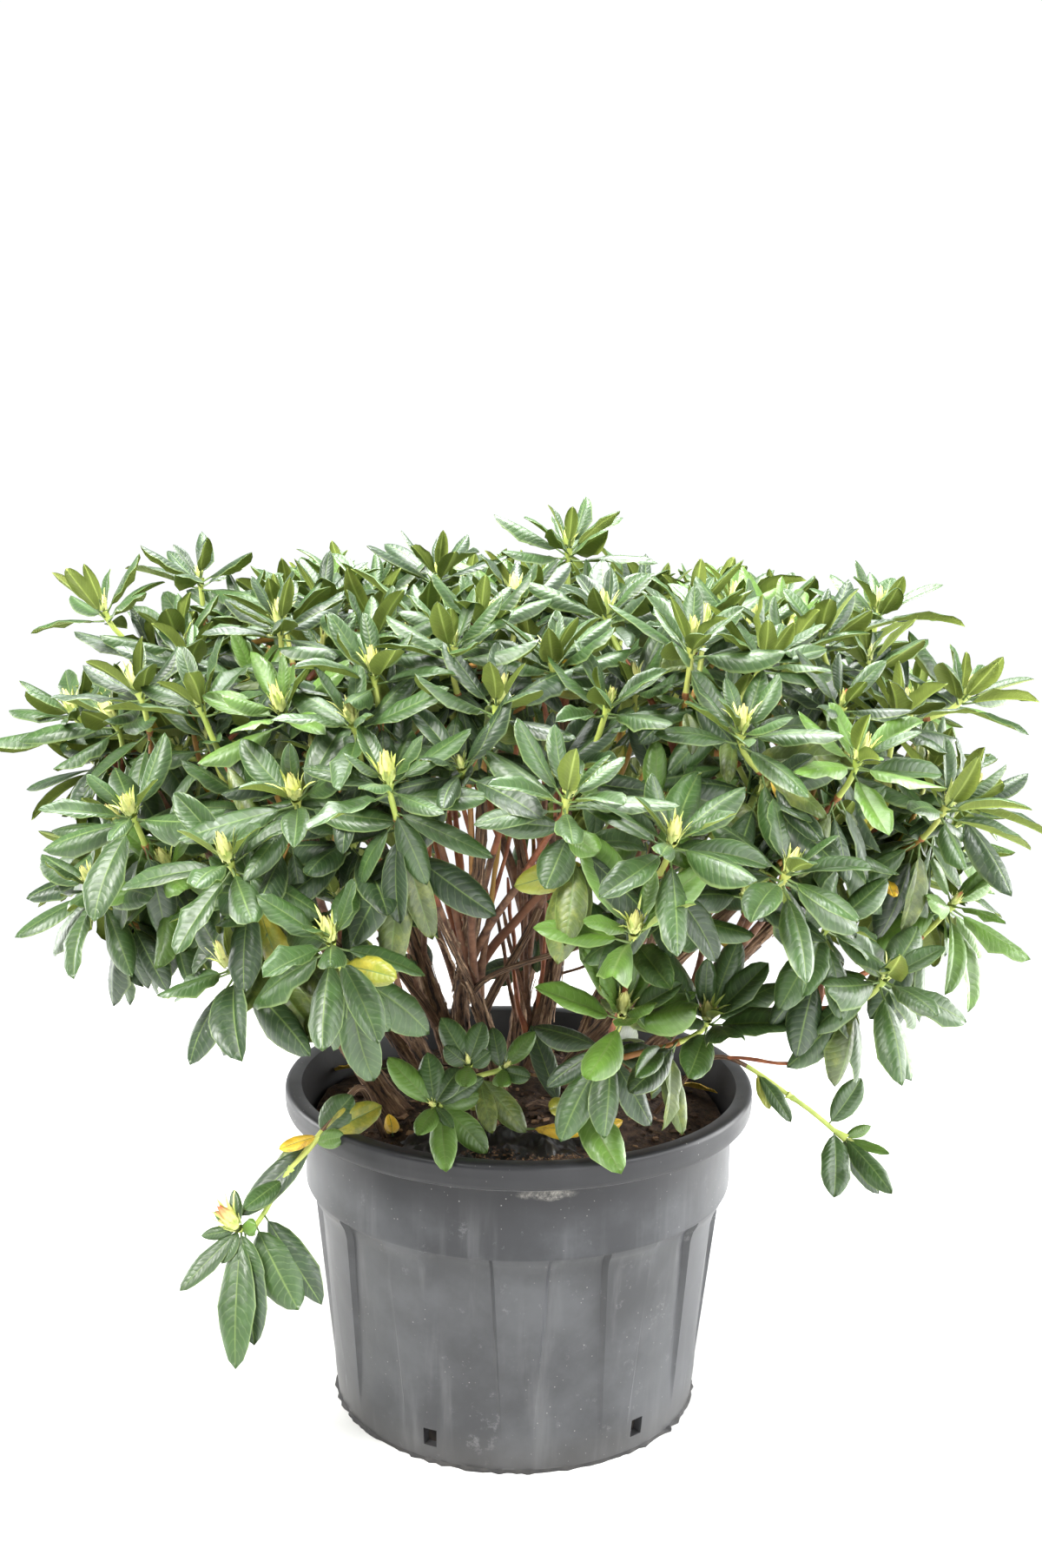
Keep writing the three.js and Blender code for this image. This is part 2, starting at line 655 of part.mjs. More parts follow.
/** Every stem and bough, each cut clear of the soil and of the stem it leaves. */
function growLimbs(masses, soil, grown) {
  const raisedSoil = soil.translate([0, 0, GAP]);
  const massNamed = (name) => masses.find((mass) => mass.name === name);
  const limbs = {};
  for (const stem of STEMS) {
    const mass = massNamed(stem.mass);
    const plan = planStem(stem, mass);
    mass.limb = stem.name;
    limbs[stem.name] = { plan, solid: largestBody(limbSolid(plan).subtract(raisedSoil)) };
  }
  for (const bough of BOUGHS) {
    const mass = massNamed(bough.mass);
    const plan = planBough(bough, limbs[bough.from].plan, mass);
    mass.limb = `bough_${bough.mass}`;
    const socket = limbSolid(limbs[bough.from].plan, GAP);
    limbs[mass.limb] = { plan, solid: largestBody(limbSolid(plan).subtract(socket)) };
  }
  for (const [limb, { solid }] of Object.entries(limbs)) remember(grown, solid, { limb });
  return limbs;
}

function makeMesh(name, solid, looks) {
  const mesh = new THREE.Mesh(geometryOf(solid), new THREE.MeshStandardMaterial(looks));
  mesh.name = name;
  return mesh;
}

const tub = makeTub();
const soil = makeSoil();
const grown = [];
remember(grown, tub, {});
remember(grown, soil, {});
const masses = planMasses();
const limbs = growLimbs(masses, soil, grown);
masses.forEach((mass) => growTwigs(mass, grown));
for (const mass of masses) {
  const random = seeded(mass.seed + 5);
  mass.plans.forEach((plan) => growLeaves(plan, mass, random, grown));
}

const rhododendron = new THREE.Group();
rhododendron.add(makeMesh('tub', tub, LOOKS.tub));
rhododendron.add(makeMesh('soil', soil, LOOKS.soil));
for (const [name, { solid }] of Object.entries(limbs)) rhododendron.add(makeMesh(name, solid, LOOKS.bark));
for (const mass of masses) {
  rhododendron.add(makeMesh(`foliage_${mass.name}`, massSolid(mass), LOOKS.leaf));
}

export default rhododendron;
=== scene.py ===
"""The looks of a garden rhododendron in its nursery tub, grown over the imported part.

Lengths are millimetres and +Z is up until a mesh is made, which is in metres. The front faces -Y.
The crown is grown by the rule of the part's source: the same places, limbs and twigs, and then finer
shoots in between, each with its whorl of leaves, its bud and the older leaves of the year before.
"""

import math

import bpy
import numpy as np
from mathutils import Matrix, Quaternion, Vector, noise


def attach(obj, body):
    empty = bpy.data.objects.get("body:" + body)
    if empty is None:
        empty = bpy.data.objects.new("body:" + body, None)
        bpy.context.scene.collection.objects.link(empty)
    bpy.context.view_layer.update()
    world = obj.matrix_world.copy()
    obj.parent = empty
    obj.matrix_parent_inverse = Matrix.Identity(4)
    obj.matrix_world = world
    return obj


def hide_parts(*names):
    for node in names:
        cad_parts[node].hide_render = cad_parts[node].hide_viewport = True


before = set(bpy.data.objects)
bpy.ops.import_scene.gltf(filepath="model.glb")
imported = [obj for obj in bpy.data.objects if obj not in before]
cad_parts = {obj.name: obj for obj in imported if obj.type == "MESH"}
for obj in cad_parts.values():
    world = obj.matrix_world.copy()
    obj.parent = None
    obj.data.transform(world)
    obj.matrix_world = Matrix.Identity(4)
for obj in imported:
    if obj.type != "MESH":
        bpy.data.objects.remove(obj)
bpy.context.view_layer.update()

MM = 0.001
UP = np.array([0.0, 0.0, 1.0])
FRONT = np.array([0.0, -1.0, 0.0])
GOLDEN_TURN = 137.5

# ---- Named sizes, as in the part's source ----

TUB = {
    "height": 508, "base_radius": 283, "wall_top_radius": 317, "wall_top": 318, "band_radius": 333,
    "band_foot": 352, "lip_radius": 363, "lip_foot": 465, "mouth_radius": 336, "wall": 5, "ribs": 12,
    "flute_depth": 8, "first_rib": 271,
}
SOIL = {"edge": 450, "shoulder": 478, "crest": 500, "shoulder_radius": 170}
CROWN = {
    "half_width": 720, "half_depth": 640, "half_height": 362, "middle": 930, "power": 3.2,
    "shell": 0.88, "shell_spread": 0.04, "shoots": 104, "tries": 14, "crowding": 30, "seed": 4127,
    "hem": 850, "front_hem": 1050, "front_azimuth": 266, "front_width": 20,
}
ARCH = 0.35
MASS_DEPTH = 235
START = {"upright": 0.55, "outward": 0.8}
BUD = {"upright": 0.85, "outward": 0.45}
LIMB = {"tip_radius": 7.5, "bough_share": 0.62, "flare": 1.35, "buried": 30}
TWIG = {"first_fork": 0.12, "last_fork": 0.55, "sway": 0.5}

# name: foot, lean, azimuth it leans towards, radius, mass it carries, and how far it arches
STEMS = {
    "stem_left": ((-189, -65), 37, 190, 19, "side_left", ARCH),
    "stem_left_inner": ((-140, 40), 31, 178, 17, "shoulder_left", ARCH),
    "stem_front_left": ((-112, -62), 26, 232, 15, "side_left_front", ARCH),
    "stem_upright": ((-80, 62), 13, 200, 14, "top_front", ARCH),
    "stem_fork": ((-30, -24), 9, 200, 12, "side_front_left", ARCH),
    "stem_middle": ((12, 84), 20, 8, 20, "top_middle", ARCH),
    "stem_front_right": ((62, 8), 30, 320, 14, "side_right_front", ARCH),
    "stem_right": ((128, 4), 56, 358, 16, "side_right", ARCH),
    "stem_back_right": ((92, 128), 30, 45, 18, "shoulder_back_right", ARCH),
    "stem_back": ((-6, 168), 28, 92, 16, "side_back", ARCH),
    "stem_back_left": ((-104, 138), 32, 135, 18, "side_back_left", ARCH),
    "shoot_front_right": ((18, -84), 48, 305, 8, "low_front_right", ARCH),
    "shoot_front": ((-62, -190), 16, 262, 6, "sprig_front", ARCH),
    "shoot_low_right": ((214, -46), 40, 0, 6.5, "low_tip_right", 0.7),
    "shoot_weeping": ((-200, -150), 25, 222, 8, "weeping_left", 0.95),
}
# mass it carries: stem it leaves, and where along it
BOUGHS = {
    "low_left": ("stem_left", 0.42),
    "low_back_left": ("stem_left_inner", 0.6),
    "low_left_front": ("stem_front_left", 0.34),
    "shoulder_left_front": ("stem_front_left", 0.56),
    "side_front_right": ("stem_fork", 0.42),
    "shoulder_front_right": ("stem_front_right", 0.4),
    "low_right": ("stem_right", 0.44),
    "shoulder_right": ("stem_right", 0.66),
    "top_right": ("stem_middle", 0.5),
    "top_back": ("stem_back", 0.42),
    "low_back_right": ("stem_back_right", 0.36),
    "side_back_right": ("stem_back_right", 0.58),
    "shoulder_back_left": ("stem_back_left", 0.6),
}
# crown masses: azimuth, reach and height of the leading bud
CROWN_MASSES = {
    "top_middle": (0, 62, 1328),
    "top_front": (260, 345, 1245),
    "top_right": (12, 325, 1240),
    "top_back": (98, 285, 1245),
    "shoulder_left": (180, 486, 1276),
    "shoulder_left_front": (222, 440, 1235),
    "shoulder_front_right": (298, 450, 1226),
    "shoulder_right": (352, 515, 1245),
    "shoulder_back_right": (52, 480, 1215),
    "shoulder_back_left": (138, 480, 1220),
    "side_left": (189, 660, 1083),
    "side_left_front": (235, 632, 966),
    "side_front_left": (254, 588, 1076),
    "side_front_right": (287, 608, 1012),
    "side_right_front": (314, 608, 1090),
    "side_right": (340, 655, 1000),
    "side_back_right": (22, 640, 1065),
    "side_back": (80, 590, 1045),
    "side_back_left": (128, 600, 1035),
    "low_left": (209, 662, 880),
    "low_left_front": (248, 618, 880),
    "low_right": (318, 636, 800),
    "low_back_right": (45, 600, 865),
    "low_back_left": (160, 620, 880),
}
LEADING_SHOOTS = [
    (185, 620, 1228), (208, 145, 1290), (219, 650, 1000), (232, 600, 815), (258, 442, 1225),
    (275, 590, 1065), (283, 600, 900), (301, 628, 965), (309, 487, 1208), (329, 656, 1012),
    (353, 646, 1125),
]
# Low masses. Their shoots stand where the photograph shows them, up to 20 mm from the source's.
LOW_MASSES = {
    "low_front_right": {
        "depth": 150, "leaf_size": 0.95, "droop": 0.04, "start": (0.3, -0.45, 0.84),
        "facing": (0.05, -0.52, 0.85), "shoots": [(136, -380, 733), (254, -345, 716), (140, -455, 868)],
    },
    "low_tip_right": {
        "depth": 110, "leaf_size": 0.6, "droop": 0.5, "start": (0.8, -0.2, -0.55), "has_whorls": False,
        "shoots": [(500, -87, 446)],
    },
    "weeping_left": {
        "depth": 110, "leaf_size": 1.25, "droop": 0.5, "start": (-0.62, -0.48, -0.62), "has_whorls": False,
        "facing": (-0.5, -0.35, 0.8), "shoots": [(-388, -335, 398)],
    },
    "sprig_front": {
        "depth": 60, "leaf_size": 0.4, "droop": 0.5, "start": (-0.1, -0.3, 0.95), "has_whorls": False,
        "shoots": [(-72, -262, 618), (-118, -285, 564), (-22, -244, 606)],
    },
}

# ---- Named sizes of what only the looks have ----

SEEDS = {
    "noise": 1, "fine": 50000, "single": 2029, "buds": (11, 23, 37), "inner": 88, "bark": 515,
    "chips": 9001, "fallen": 733,
}
# Finer shoots that fill the crown between those of the part, further inside too. Each leaves a twig at a
# fork that lies further inward. Every second one leaves a stem low down instead, where that is near and
# it has little to turn: turn_cost is the cost of a square turn, and going straight on costs 1 less.
FINE = {
    "shoots": 106, "level": 0.79, "level_spread": 0.1, "forks": (0.25, 0.4, 0.55, 0.7), "inward": 0.03,
    "least_length": 70, "most_length": 330, "radius": 4.2, "sway": 0.3,
    "low_every": 2, "low_forks": (0.05, 0.1, 0.17, 0.26, 0.36), "low_radius": (5, 8.5), "turn_cost": 1.9,
}
# Radii and stretches of a shoot: green wood at its tip, a node of old scars below, and russet wood
SHOOT = {
    "leader_radius": 7, "foot_radius": 5.5, "radius": 3.3, "green_radius": 3.9, "green": (58, 96),
    "node_length": 7, "scars": (1.35, 1.6, 1.4), "russet": (140, 320), "bare_foot": 4,
}
# Shoots whose leaves stand firm though they are low, by mass and number: how many young leaves each has.
# Those with a full whorl are fresher, partly as painted light for leaves in the crown's shade, and have
# older leaves too.
FIRM_SHOOTS = {
    ("side_front_right", 2): 7, ("low_front_right", 0): 13, ("low_front_right", 1): 13,
    ("low_front_right", 2): 7,
}
FULL_WHORL = 10
# Rooms into which no leaf of the crown reaches: before the low right shoots, and over the opening
CLEAR_ROOMS = np.array([[(70, -900, 500), (330, -390, 845)], [(-125, -900, 850), (5, -100, 1015)]])
# How far along these limbs the bark gives way to green wood, how much slimmer than the source's they are,
# and from where on
LIMB_LOOKS = {
    "shoot_weeping": {"green_from": 0.8, "slim": 0.62}, "shoot_front": {"green_from": 0.9, "slim": 0.8},
    "shoot_low_right": {"green_from": 0.74, "slim": 0.55}, "shoot_front_right": {"slim": 0.85},
    "stem_fork": {"slim": 0.5, "slim_from": 0.42}, "bough_side_front_right": {"slim": 0.6},
}
# Lean stems and bare twigs, nearly all in the open front, with what each leaves, how far along that, its
# end, its radius at both ends, and its tone
INNER_TWIGS = {
    "fork_left": ("stem_fork", 0.34, (-45, -130, 804), 6.2, 4.6, "brown"),
    "fork_red": ("fork_left", 1.0, (-95, -170, 1005), 3.8, 3.0, "russet"),
    "fork_ochre": ("fork_left", 1.0, (-29, -150, 1008), 4.0, 3.2, "ochre"),
    "fork_green": ("fork_left", 1.0, (-15, -130, 947), 3.4, 2.8, "russet"),
    "fork_right": ("stem_fork", 0.3, (27, -110, 807), 7.4, 6.2, "brown"),
    "fork_top": ("fork_right", 1.0, (47, -120, 945), 5.8, 4.0, "brown"),
    "cut_stub": ("stem_middle", 0.07, (-7, 70, 627), 8.5, 2.0, "russet"),
    "red_left": ("stem_upright", 0.5, (-101, -90, 1003), 5.2, 3.8, "russet"),
    "red_beside": ("stem_upright", 0.56, (-115, -60, 984), 3.8, 3.0, "russet"),
    "red_far": ("stem_upright", 0.4, (-149, -10, 968), 5.0, 3.6, "russet"),
    "red_middle": ("stem_middle", 0.42, (15, 0, 942), 4.4, 3.2, "russet"),
    "lean_middle": ("stem_middle", 0.06, (2, 60, 826), 4.4, 3.4, "brown"),
    "lean_right": ("stem_middle", 0.1, (42, 20, 794), 4.0, 3.2, "russet"),
    "lean_left": ("stem_middle", 0.12, (-28, 50, 758), 3.6, 3.0, "brown"),
    "back_left": ("stem_back", 0.12, (-39, 150, 731), 4.2, 3.2, "brown"),
    "back_middle": ("stem_back", 0.14, (-23, 160, 787), 4.4, 3.2, "russet"),
    "back_right": ("stem_back", 0.26, (-6, 190, 810), 3.8, 3.0, "brown"),
    "dark_trunk": ("stem_back_left", 0.08, (-71, 150, 741), 12.0, 9.0, "brown"),
    "left_trunk": ("stem_back_left", 0.14, (-229, 140, 690), 9.5, 7.0, "brown"),
    "left_stub": ("left_trunk", 0.4, (-182, 120, 668), 3.6, 2.6, "brown"),
    "right_twig": ("stem_middle", 0.3, (116, 60, 678), 2.8, 2.2, "brown"),
    "cut_twig": ("shoot_low_right", 0.62, (448, -100, 575), 3.2, 2.8, "russet"),
}
INNER_BEND = {"foot": 0.4, "tip": 0.3}      # how far their ends follow what they leave, and turn up
GREEN, RING, RUSSET, BROWN = range(4)       # slots of the twigs' materials
TWIG_TONES = {"russet": (RUSSET, 0.3), "ochre": (RUSSET, 1.0), "brown": (BROWN, 0.3)}     # slot and tint

# Rows and columns of a blade as shares of its length and half its width, its width as a share of its
# length low down and high up, and its relief
BLADE = {
    "along": np.array([0, 0.07, 0.19, 0.34, 0.51, 0.67, 0.82, 0.93, 1.0]),
    "across": np.array([-1, -0.76, -0.4, -0.032, 0.032, 0.4, 0.76, 1]),
    "width_low": 0.41, "width_high": 0.34, "petiole": 0.14, "thickness": 0.8, "groove": 0.35, "ridge": 0.9,
    "rib_half": 0.1, "bulge": 0.5, "ripples": 2.2,
}
# A stalk's radius at its foot, middle and head, how far it is sunk there, and how far it runs into the rib
STALK = {"radii": (2.3, 1.7, 1.4), "sunk": (0, 0.6, 0.9), "into_rib": 5}
# Leaves in a whorl, their lengths, and their rise from square to the shoot in degrees. "grown" is how far
# the leaf next to the bud has grown and how much that rises down the whorl, and "luck" the reach of a draw.
WHORL = {
    "young": (10, 13.99), "young_fine": (7, 10.99), "young_length": (76, 130), "young_rise": 64,
    "last_rise": (14, -4), "firm_rise": 30, "rise_luck": (-11, 11), "turn_luck": (-12, 12),
    "size_luck": (0.92, 1.06), "roots": (-4, 18), "grown": (0.1, 1.6), "turn_up": (0.25, 0.6),
    "older": (4, 8.49), "older_fine": (2, 5.99), "older_length": (110, 140), "older_rise": (-48, 4),
    "older_turn_luck": (-15, 15), "older_pitch": 3.5, "older_hang": (0.3, 0.95), "older_turn_up": 0.6,
}
# How a leaf of a whorl lies, with its angles in degrees, and what hanging does to it
LIE = {
    "length": (0.88, 1.12), "width": (0.86, 1.14), "bend": (-6, 26), "hanging_bend": 30,
    "bend_luck": (0.4, 1), "sweep": (-16, 16), "twist": (-28, 28), "folded": 0.45,
    "fold": ((-24, 14), (18, 48)), "roll": ((0.15, 0.7), (0.1, 0.35)),      # open leaf, folded leaf
    "wave": (0.0, 0.2), "drop": 0.75, "less_way": 0.55, "outward": 0.8,
}
# The same for a single leaf, and how far its upper side turns up, outward and to the front
SINGLE_LIE = {
    "length": 0.92, "petiole": 0.08, "width": 1.18, "bend": (8, 22), "arch": 0.45, "sweep": (-8, 8),
    "twist": (-14, 14), "fold": (-10, 16), "roll": (0.1, 0.45), "wave": (0.04, 0.2), "tint": (0, 0.8),
    "up": 0.45, "outward": 0.25, "front": 0.8,
}
# How far leaves hang on a firm shoot, low in the crown and on top of it, and their size on top of it
LIMPNESS = {"firm": 0.05, "low": 0.8, "top": 0.08}
TOP_LEAF_SIZE = 0.88
# Heights over which leaves turn from broad to narrow, from limp to firm and from long to short, and below
# or above which some are fresh or have autumn colours
NARROWING, FIRMING, SHORTENING = (820, 1120), (830, 1180), (1000, 1180)
FRESH_BELOW, AUTUMN_ABOVE = 800, 850
# Luck, from 0 to 1, below which a leaf is of a kind, or takes the kind of its whorl
# The share of fresh leaves on full firm whorls low down is partly painted light, for leaves in the crown's
# shade.
LUCK = {
    "fresh": 0.1, "fresh_low": 0.3, "fresh_firm_painted_light": 0.65, "mid": 0.78, "mid_fine": 0.62, "whorl": 0.85,
    "yellow": 0.01, "yellow_fine": 0.045, "turning": 0.06, "dull": 0.2, "old_deep": 0.72,
}
LEAF_KINDS = ["fresh", "mid", "deep", "dull", "turning", "yellow"]
LEAF_COLOURS = {
    "fresh": (0.068, 0.140, 0.017),
    "mid": (0.027, 0.064, 0.012),
    "deep": (0.015, 0.037, 0.010),
    "dull": (0.054, 0.083, 0.012),
    "turning": (0.180, 0.200, 0.018),
    "yellow": (0.600, 0.380, 0.024),
}
UNDER_COLOURS = {"under": (0.190, 0.245, 0.042), "under_yellow": (0.50, 0.36, 0.05)}
RIB_COLOURS = {"rib": (0.110, 0.170, 0.045), "under_rib": (0.400, 0.460, 0.140)}

# Leaves that stand out in the photograph. Each grows from a limb, or from one twig of a mass (its name
# and number), a share of the way along it: tip of the leaf, width, and kind.
FRONT_LEFT, FRONT_RIGHT, WEEPING = ("side_front_left", 0), ("side_front_right", 1), ("weeping_left", 0)
TIP, SPRIG_MIDDLE, SPRIG_LEFT, SPRIG_RIGHT = ("low_tip_right", 0), *(("sprig_front", i) for i in range(3))
SINGLE_LEAVES = [
    (FRONT_RIGHT, [(0.62, (47, -557, 848), 54, "dull"), (0.8, (30, -600, 955), 42, "mid"),
        (0.84, (83, -618, 1000), 34, "fresh"), (0.84, (-46, -608, 1030), 36, "mid"),
        (0.55, (-8, -527, 925), 36, "turning")]),
    (FRONT_LEFT, [(0.4, (-44, -501, 880), 42, "deep"), (0.62, (-118, -505, 855), 34, "dull"),
        (0.8, (-115, -536, 940), 34, "mid"), (0.8, (-42, -583, 978), 25, "mid"),
        (0.55, (-205, -520, 850), 44, "deep"), (0.5, (-170, -500, 800), 40, "dull")]),
    (WEEPING, [(0.75, (-308, -365, 288), 58, "mid"), (0.6, (-275, -358, 293), 46, "deep"),
        (0.95, (-387, -422, 232), 48, "mid"), (0.9, (-362, -398, 255), 44, "deep"),
        (0.97, (-363, -371, 315), 34, "mid"), (0.98, (-460, -385, 326), 28, "mid"),
        (0.99, (-407, -359, 356), 22, "mid"), (1.0, (-436, -351, 386), 18, "mid"),
        (1.0, (-403, -310, 445), 20, "mid"), (1.0, (-423, -333, 420), 15, "fresh"),
        (0.15, (-373, -356, 432), 30, "mid")]),
    ("shoot_weeping", [(0.84, (-380, -322, 404), 38, "deep")]),
    (WEEPING, [(0.97, (-362, -352, 408), 24, "fresh")]),
    ("shoot_weeping", [(0.8, (-239, -224, 555), 44, "mid"), (0.8, (-189, -233, 526), 40, "turning"),
        (0.8, (-335, -298, 500), 20, "yellow"), (0.84, (-245, -262, 502), 26, "fresh"),
        (0.86, (-345, -280, 452), 32, "dull")]),
    (TIP, [(0.7, (533, -55, 526), 38, "mid"), (0.8, (481, -150, 376), 44, "mid"),
        (0.95, (557, -168, 391), 36, "mid"), (0.9, (555, -90, 355), 32, "deep"),
        (1.0, (556, -128, 430), 16, "fresh"), (0.97, (543, -80, 456), 18, "fresh")]),
    ("shoot_low_right", [(0.8, (383, -85, 490), 20, "turning"), (0.8, (412, -101, 475), 24, "mid")]),
    (SPRIG_LEFT, [(1.0, (-194, -264, 618), 34, "fresh"), (1.0, (-132, -256, 632), 38, "mid"),
        (1.0, (-83, -261, 612), 32, "mid"), (0.9, (-51, -273, 572), 30, "fresh"),
        (0.9, (-44, -267, 590), 30, "mid"), (0.8, (-45, -306, 500), 34, "fresh"),
        (0.8, (-101, -370, 500), 36, "fresh"), (0.95, (-135, -338, 538), 28, "fresh"),
        (1.0, (-92, -320, 542), 17, "mid")]),
    (SPRIG_MIDDLE, [(0.95, (-116, -238, 676), 36, "mid"), (1.0, (-49, -238, 672), 32, "mid"),
        (1.0, (-77, -303, 598), 28, "fresh"), (0.9, (-108, -258, 640), 28, "mid"),
        (0.9, (-40, -262, 632), 24, "mid")]),
    (SPRIG_RIGHT, [(1.0, (25, -222, 652), 28, "fresh"), (1.0, (-25, -288, 594), 26, "fresh"),
        (0.9, (12, -279, 598), 26, "mid"), (0.9, (-42, -225, 660), 28, "mid"),
        (0.3, (-43, -301, 528), 27, "dull"), (0.3, (3, -290, 520), 33, "dull")]),
    ("shoot_front_right", [(0.6, (14, -184, 650), 32, "deep"), (0.9, (136, -378, 503), 50, "fresh"),
        (0.8, (46, -322, 570), 30, "turning")]),
    (("low_front_right", 1), [(0.55, (222, -375, 560), 30, "dull")]),
    ("stem_back", [(0.38, (-74, 210, 595), 34, "deep"), (0.42, (-32, 190, 592), 30, "mid")]),
    ("stem_back_left", [(0.5, (-160, 190, 612), 36, "deep")]),
    ("stem_back", [(0.58, (30, 210, 612), 38, "mid"), (0.5, (1, 200, 618), 30, "deep")]),
    ("stem_back_left", [(0.42, (-196, 160, 640), 32, "deep")]),
    ("stem_front_right", [(0.8, (282, -318, 805), 26, "yellow")]),
    (("side_right", 1), [(0.2, (498, -345, 888), 36, "yellow")]),
    (("side_right_front", 2), [(0.6, (353, -462, 1035), 30, "yellow")]),
    (("low_left_front", 0), [(0.8, (-154, -605, 838), 36, "turning")]),
]

# ---- Small helpers ----


def seeded(seed):
    """A repeatable stream of numbers between 0 and 1."""
    state = seed

    def draw(low=0.0, high=1.0):
        nonlocal state
        state = (state * 48271) % 2147483647
        return low + (high - low) * state / 2147483647

    return draw


def unit(vector):
    return vector / np.linalg.norm(vector)


def lerp(low, high, share):
    return low + (high - low) * share


def smooth(low, high, value):
    """0 below low, 1 above high, and a smooth step between them."""
    share = np.clip((value - low) / (high - low), 0, 1)
    return share * share * (3 - 2 * share)


def polar(azimuth, reach, height):
    angle = math.radians(azimuth)
    return np.array([reach * math.cos(angle), reach * math.sin(angle), height], float)


def turned(first, second, angle):
    """The way at an angle from a first way towards a second one square to it."""
    return first * math.cos(angle) + second * math.sin(angle)


def sideways(axis):
    """Two directions square to an axis and to each other."""
    other = np.array([1.0, 0.0, 0.0]) if abs(axis[0]) < 0.8 else np.array([0.0, 1.0, 0.0])
    across = unit(np.cross(axis, other))
    return across, np.cross(axis, across)


class Curve:
    """A cubic Bezier curve that leaves one point along one way and arrives at another along another."""

    def __init__(self, start, start_way, end, end_way, arch=ARCH):
        pull = arch * np.linalg.norm(end - start)
        self.knots = np.array([start, start + pull * start_way, end - pull * end_way, end])
        self.times = np.linspace(0, 1, 201)
        steps = np.linalg.norm(np.diff(self.point(self.times), axis=0), axis=1)
        self.walked = np.concatenate([[0], np.cumsum(steps)])
        self.length = self.walked[-1]

    def point(self, time):
        t = np.asarray(time, float)[..., None]
        a, b, c, d = self.knots
        return (1 - t) ** 3 * a + 3 * t * (1 - t) ** 2 * b + 3 * t * t * (1 - t) * c + t ** 3 * d

    def time(self, share):
        return np.interp(np.asarray(share) * self.length, self.walked, self.times)

    def at(self, share):
        return self.point(self.time(share))

    def way(self, share):
        t = self.time(share)[..., None]
        a, b, c, d = self.knots
        slope = (1 - t) ** 2 * (b - a) + 2 * t * (1 - t) * (c - b) + t * t * (d - c)
        return slope / np.linalg.norm(slope, axis=-1, keepdims=True)


class Bag:
    """Vertices and faces gathered for one joined mesh."""

    def __init__(self):
        self.count = 0
        self.parts = []

    def add(self, vertices, faces, slot=0, uv=None, tint=0.5):
        """faces is a table of three or four indices each; slot is one number or one for each face."""
        vertices = np.asarray(vertices, float).reshape(-1, 3)
        faces = np.asarray(faces)
        n = len(vertices)
        slots = np.broadcast_to(np.asarray(slot), (len(faces),))
        uvs = np.zeros((n, 2)) if uv is None else np.asarray(uv, float).reshape(-1, 2)
        tints = np.broadcast_to(np.asarray(tint, float), (n,))
        self.parts.append((vertices, faces + self.count, slots, uvs, tints))
        self.count += n

    def add_tube(self, vertices, uv, slot=0, tint=0.5):
        """A skin over rings of vertices; slot is one number or one for each stretch between rings."""
        rings, sides = vertices.shape[:2]
        slots = np.repeat(np.broadcast_to(slot, (rings - 1,)), sides)
        self.add(vertices, grid_faces(rings, sides, is_ring=True), slots, uv, tint)

    def add_fan(self, middle, ring, faces_up=True):
        """Triangles that close a ring of vertices."""
        first = np.arange(len(ring)) + 1
        second = np.roll(first, -1)
        corners = (first, second) if faces_up else (second, first)
        self.add([middle, *ring], np.stack([np.zeros_like(first), *corners], axis=-1))

    def build(self, name, materials, is_smooth=True):
        """The object that holds everything gathered, in metres."""
        vertices, faces, slots, uvs, tints = zip(*self.parts)
        vertices, slots, uvs, tints = map(np.concatenate, (vertices, slots, uvs, tints))
        loops = np.concatenate([part.ravel() for part in faces])
        sizes = np.concatenate([np.full(len(part), part.shape[1]) for part in faces])
        mesh = bpy.data.meshes.new(name)
        mesh.vertices.add(len(vertices))
        mesh.vertices.foreach_set("co", vertices.ravel() * MM)
        mesh.loops.add(len(loops))
        mesh.loops.foreach_set("vertex_index", loops)
        mesh.polygons.add(len(sizes))
        mesh.polygons.foreach_set("loop_start", np.concatenate([[0], np.cumsum(sizes)[:-1]]))
        mesh.polygons.foreach_set("material_index", slots)
        mesh.polygons.foreach_set("use_smooth", np.full(len(sizes), is_smooth))
        mesh.update(calc_edges=True)
        mesh.uv_layers.new(name="UVMap").data.foreach_set("uv", uvs[loops].ravel())
        mesh.attributes.new("tint", "FLOAT", "POINT").data.foreach_set("value", tints)
        for material in materials:
            mesh.materials.append(material)
        made = bpy.data.objects.new(name, mesh)
        bpy.context.scene.collection.objects.link(made)
        return made


def grid_faces(rows, columns, is_ring=False):
    """Faces of a grid of vertices listed row by row, whose rows may close on themselves."""
    across = columns if is_ring else columns - 1
    row, column = np.meshgrid(np.arange(rows - 1), np.arange(across), indexing="ij")
    following = (column + 1) % columns
    corners = [row * columns + column, row * columns + following,
               (row + 1) * columns + following, (row + 1) * columns + column]
    return np.stack(corners, axis=-1).reshape(-1, 4)


def ring_frames(ways):
    """Directions square to a row of tangents, turning as little as may be from one to the next."""
    across = [sideways(ways[0])[0]]
    for way in ways[1:]:
        across.append(unit(across[-1] - way * np.dot(across[-1], way)))
    across = np.array(across)
    return across, np.cross(ways, across)


def table_of(*columns):
    """Columns of any shapes that fit together, as one table with a row of values at each place."""
    return np.stack(np.broadcast_arrays(*columns), axis=-1)


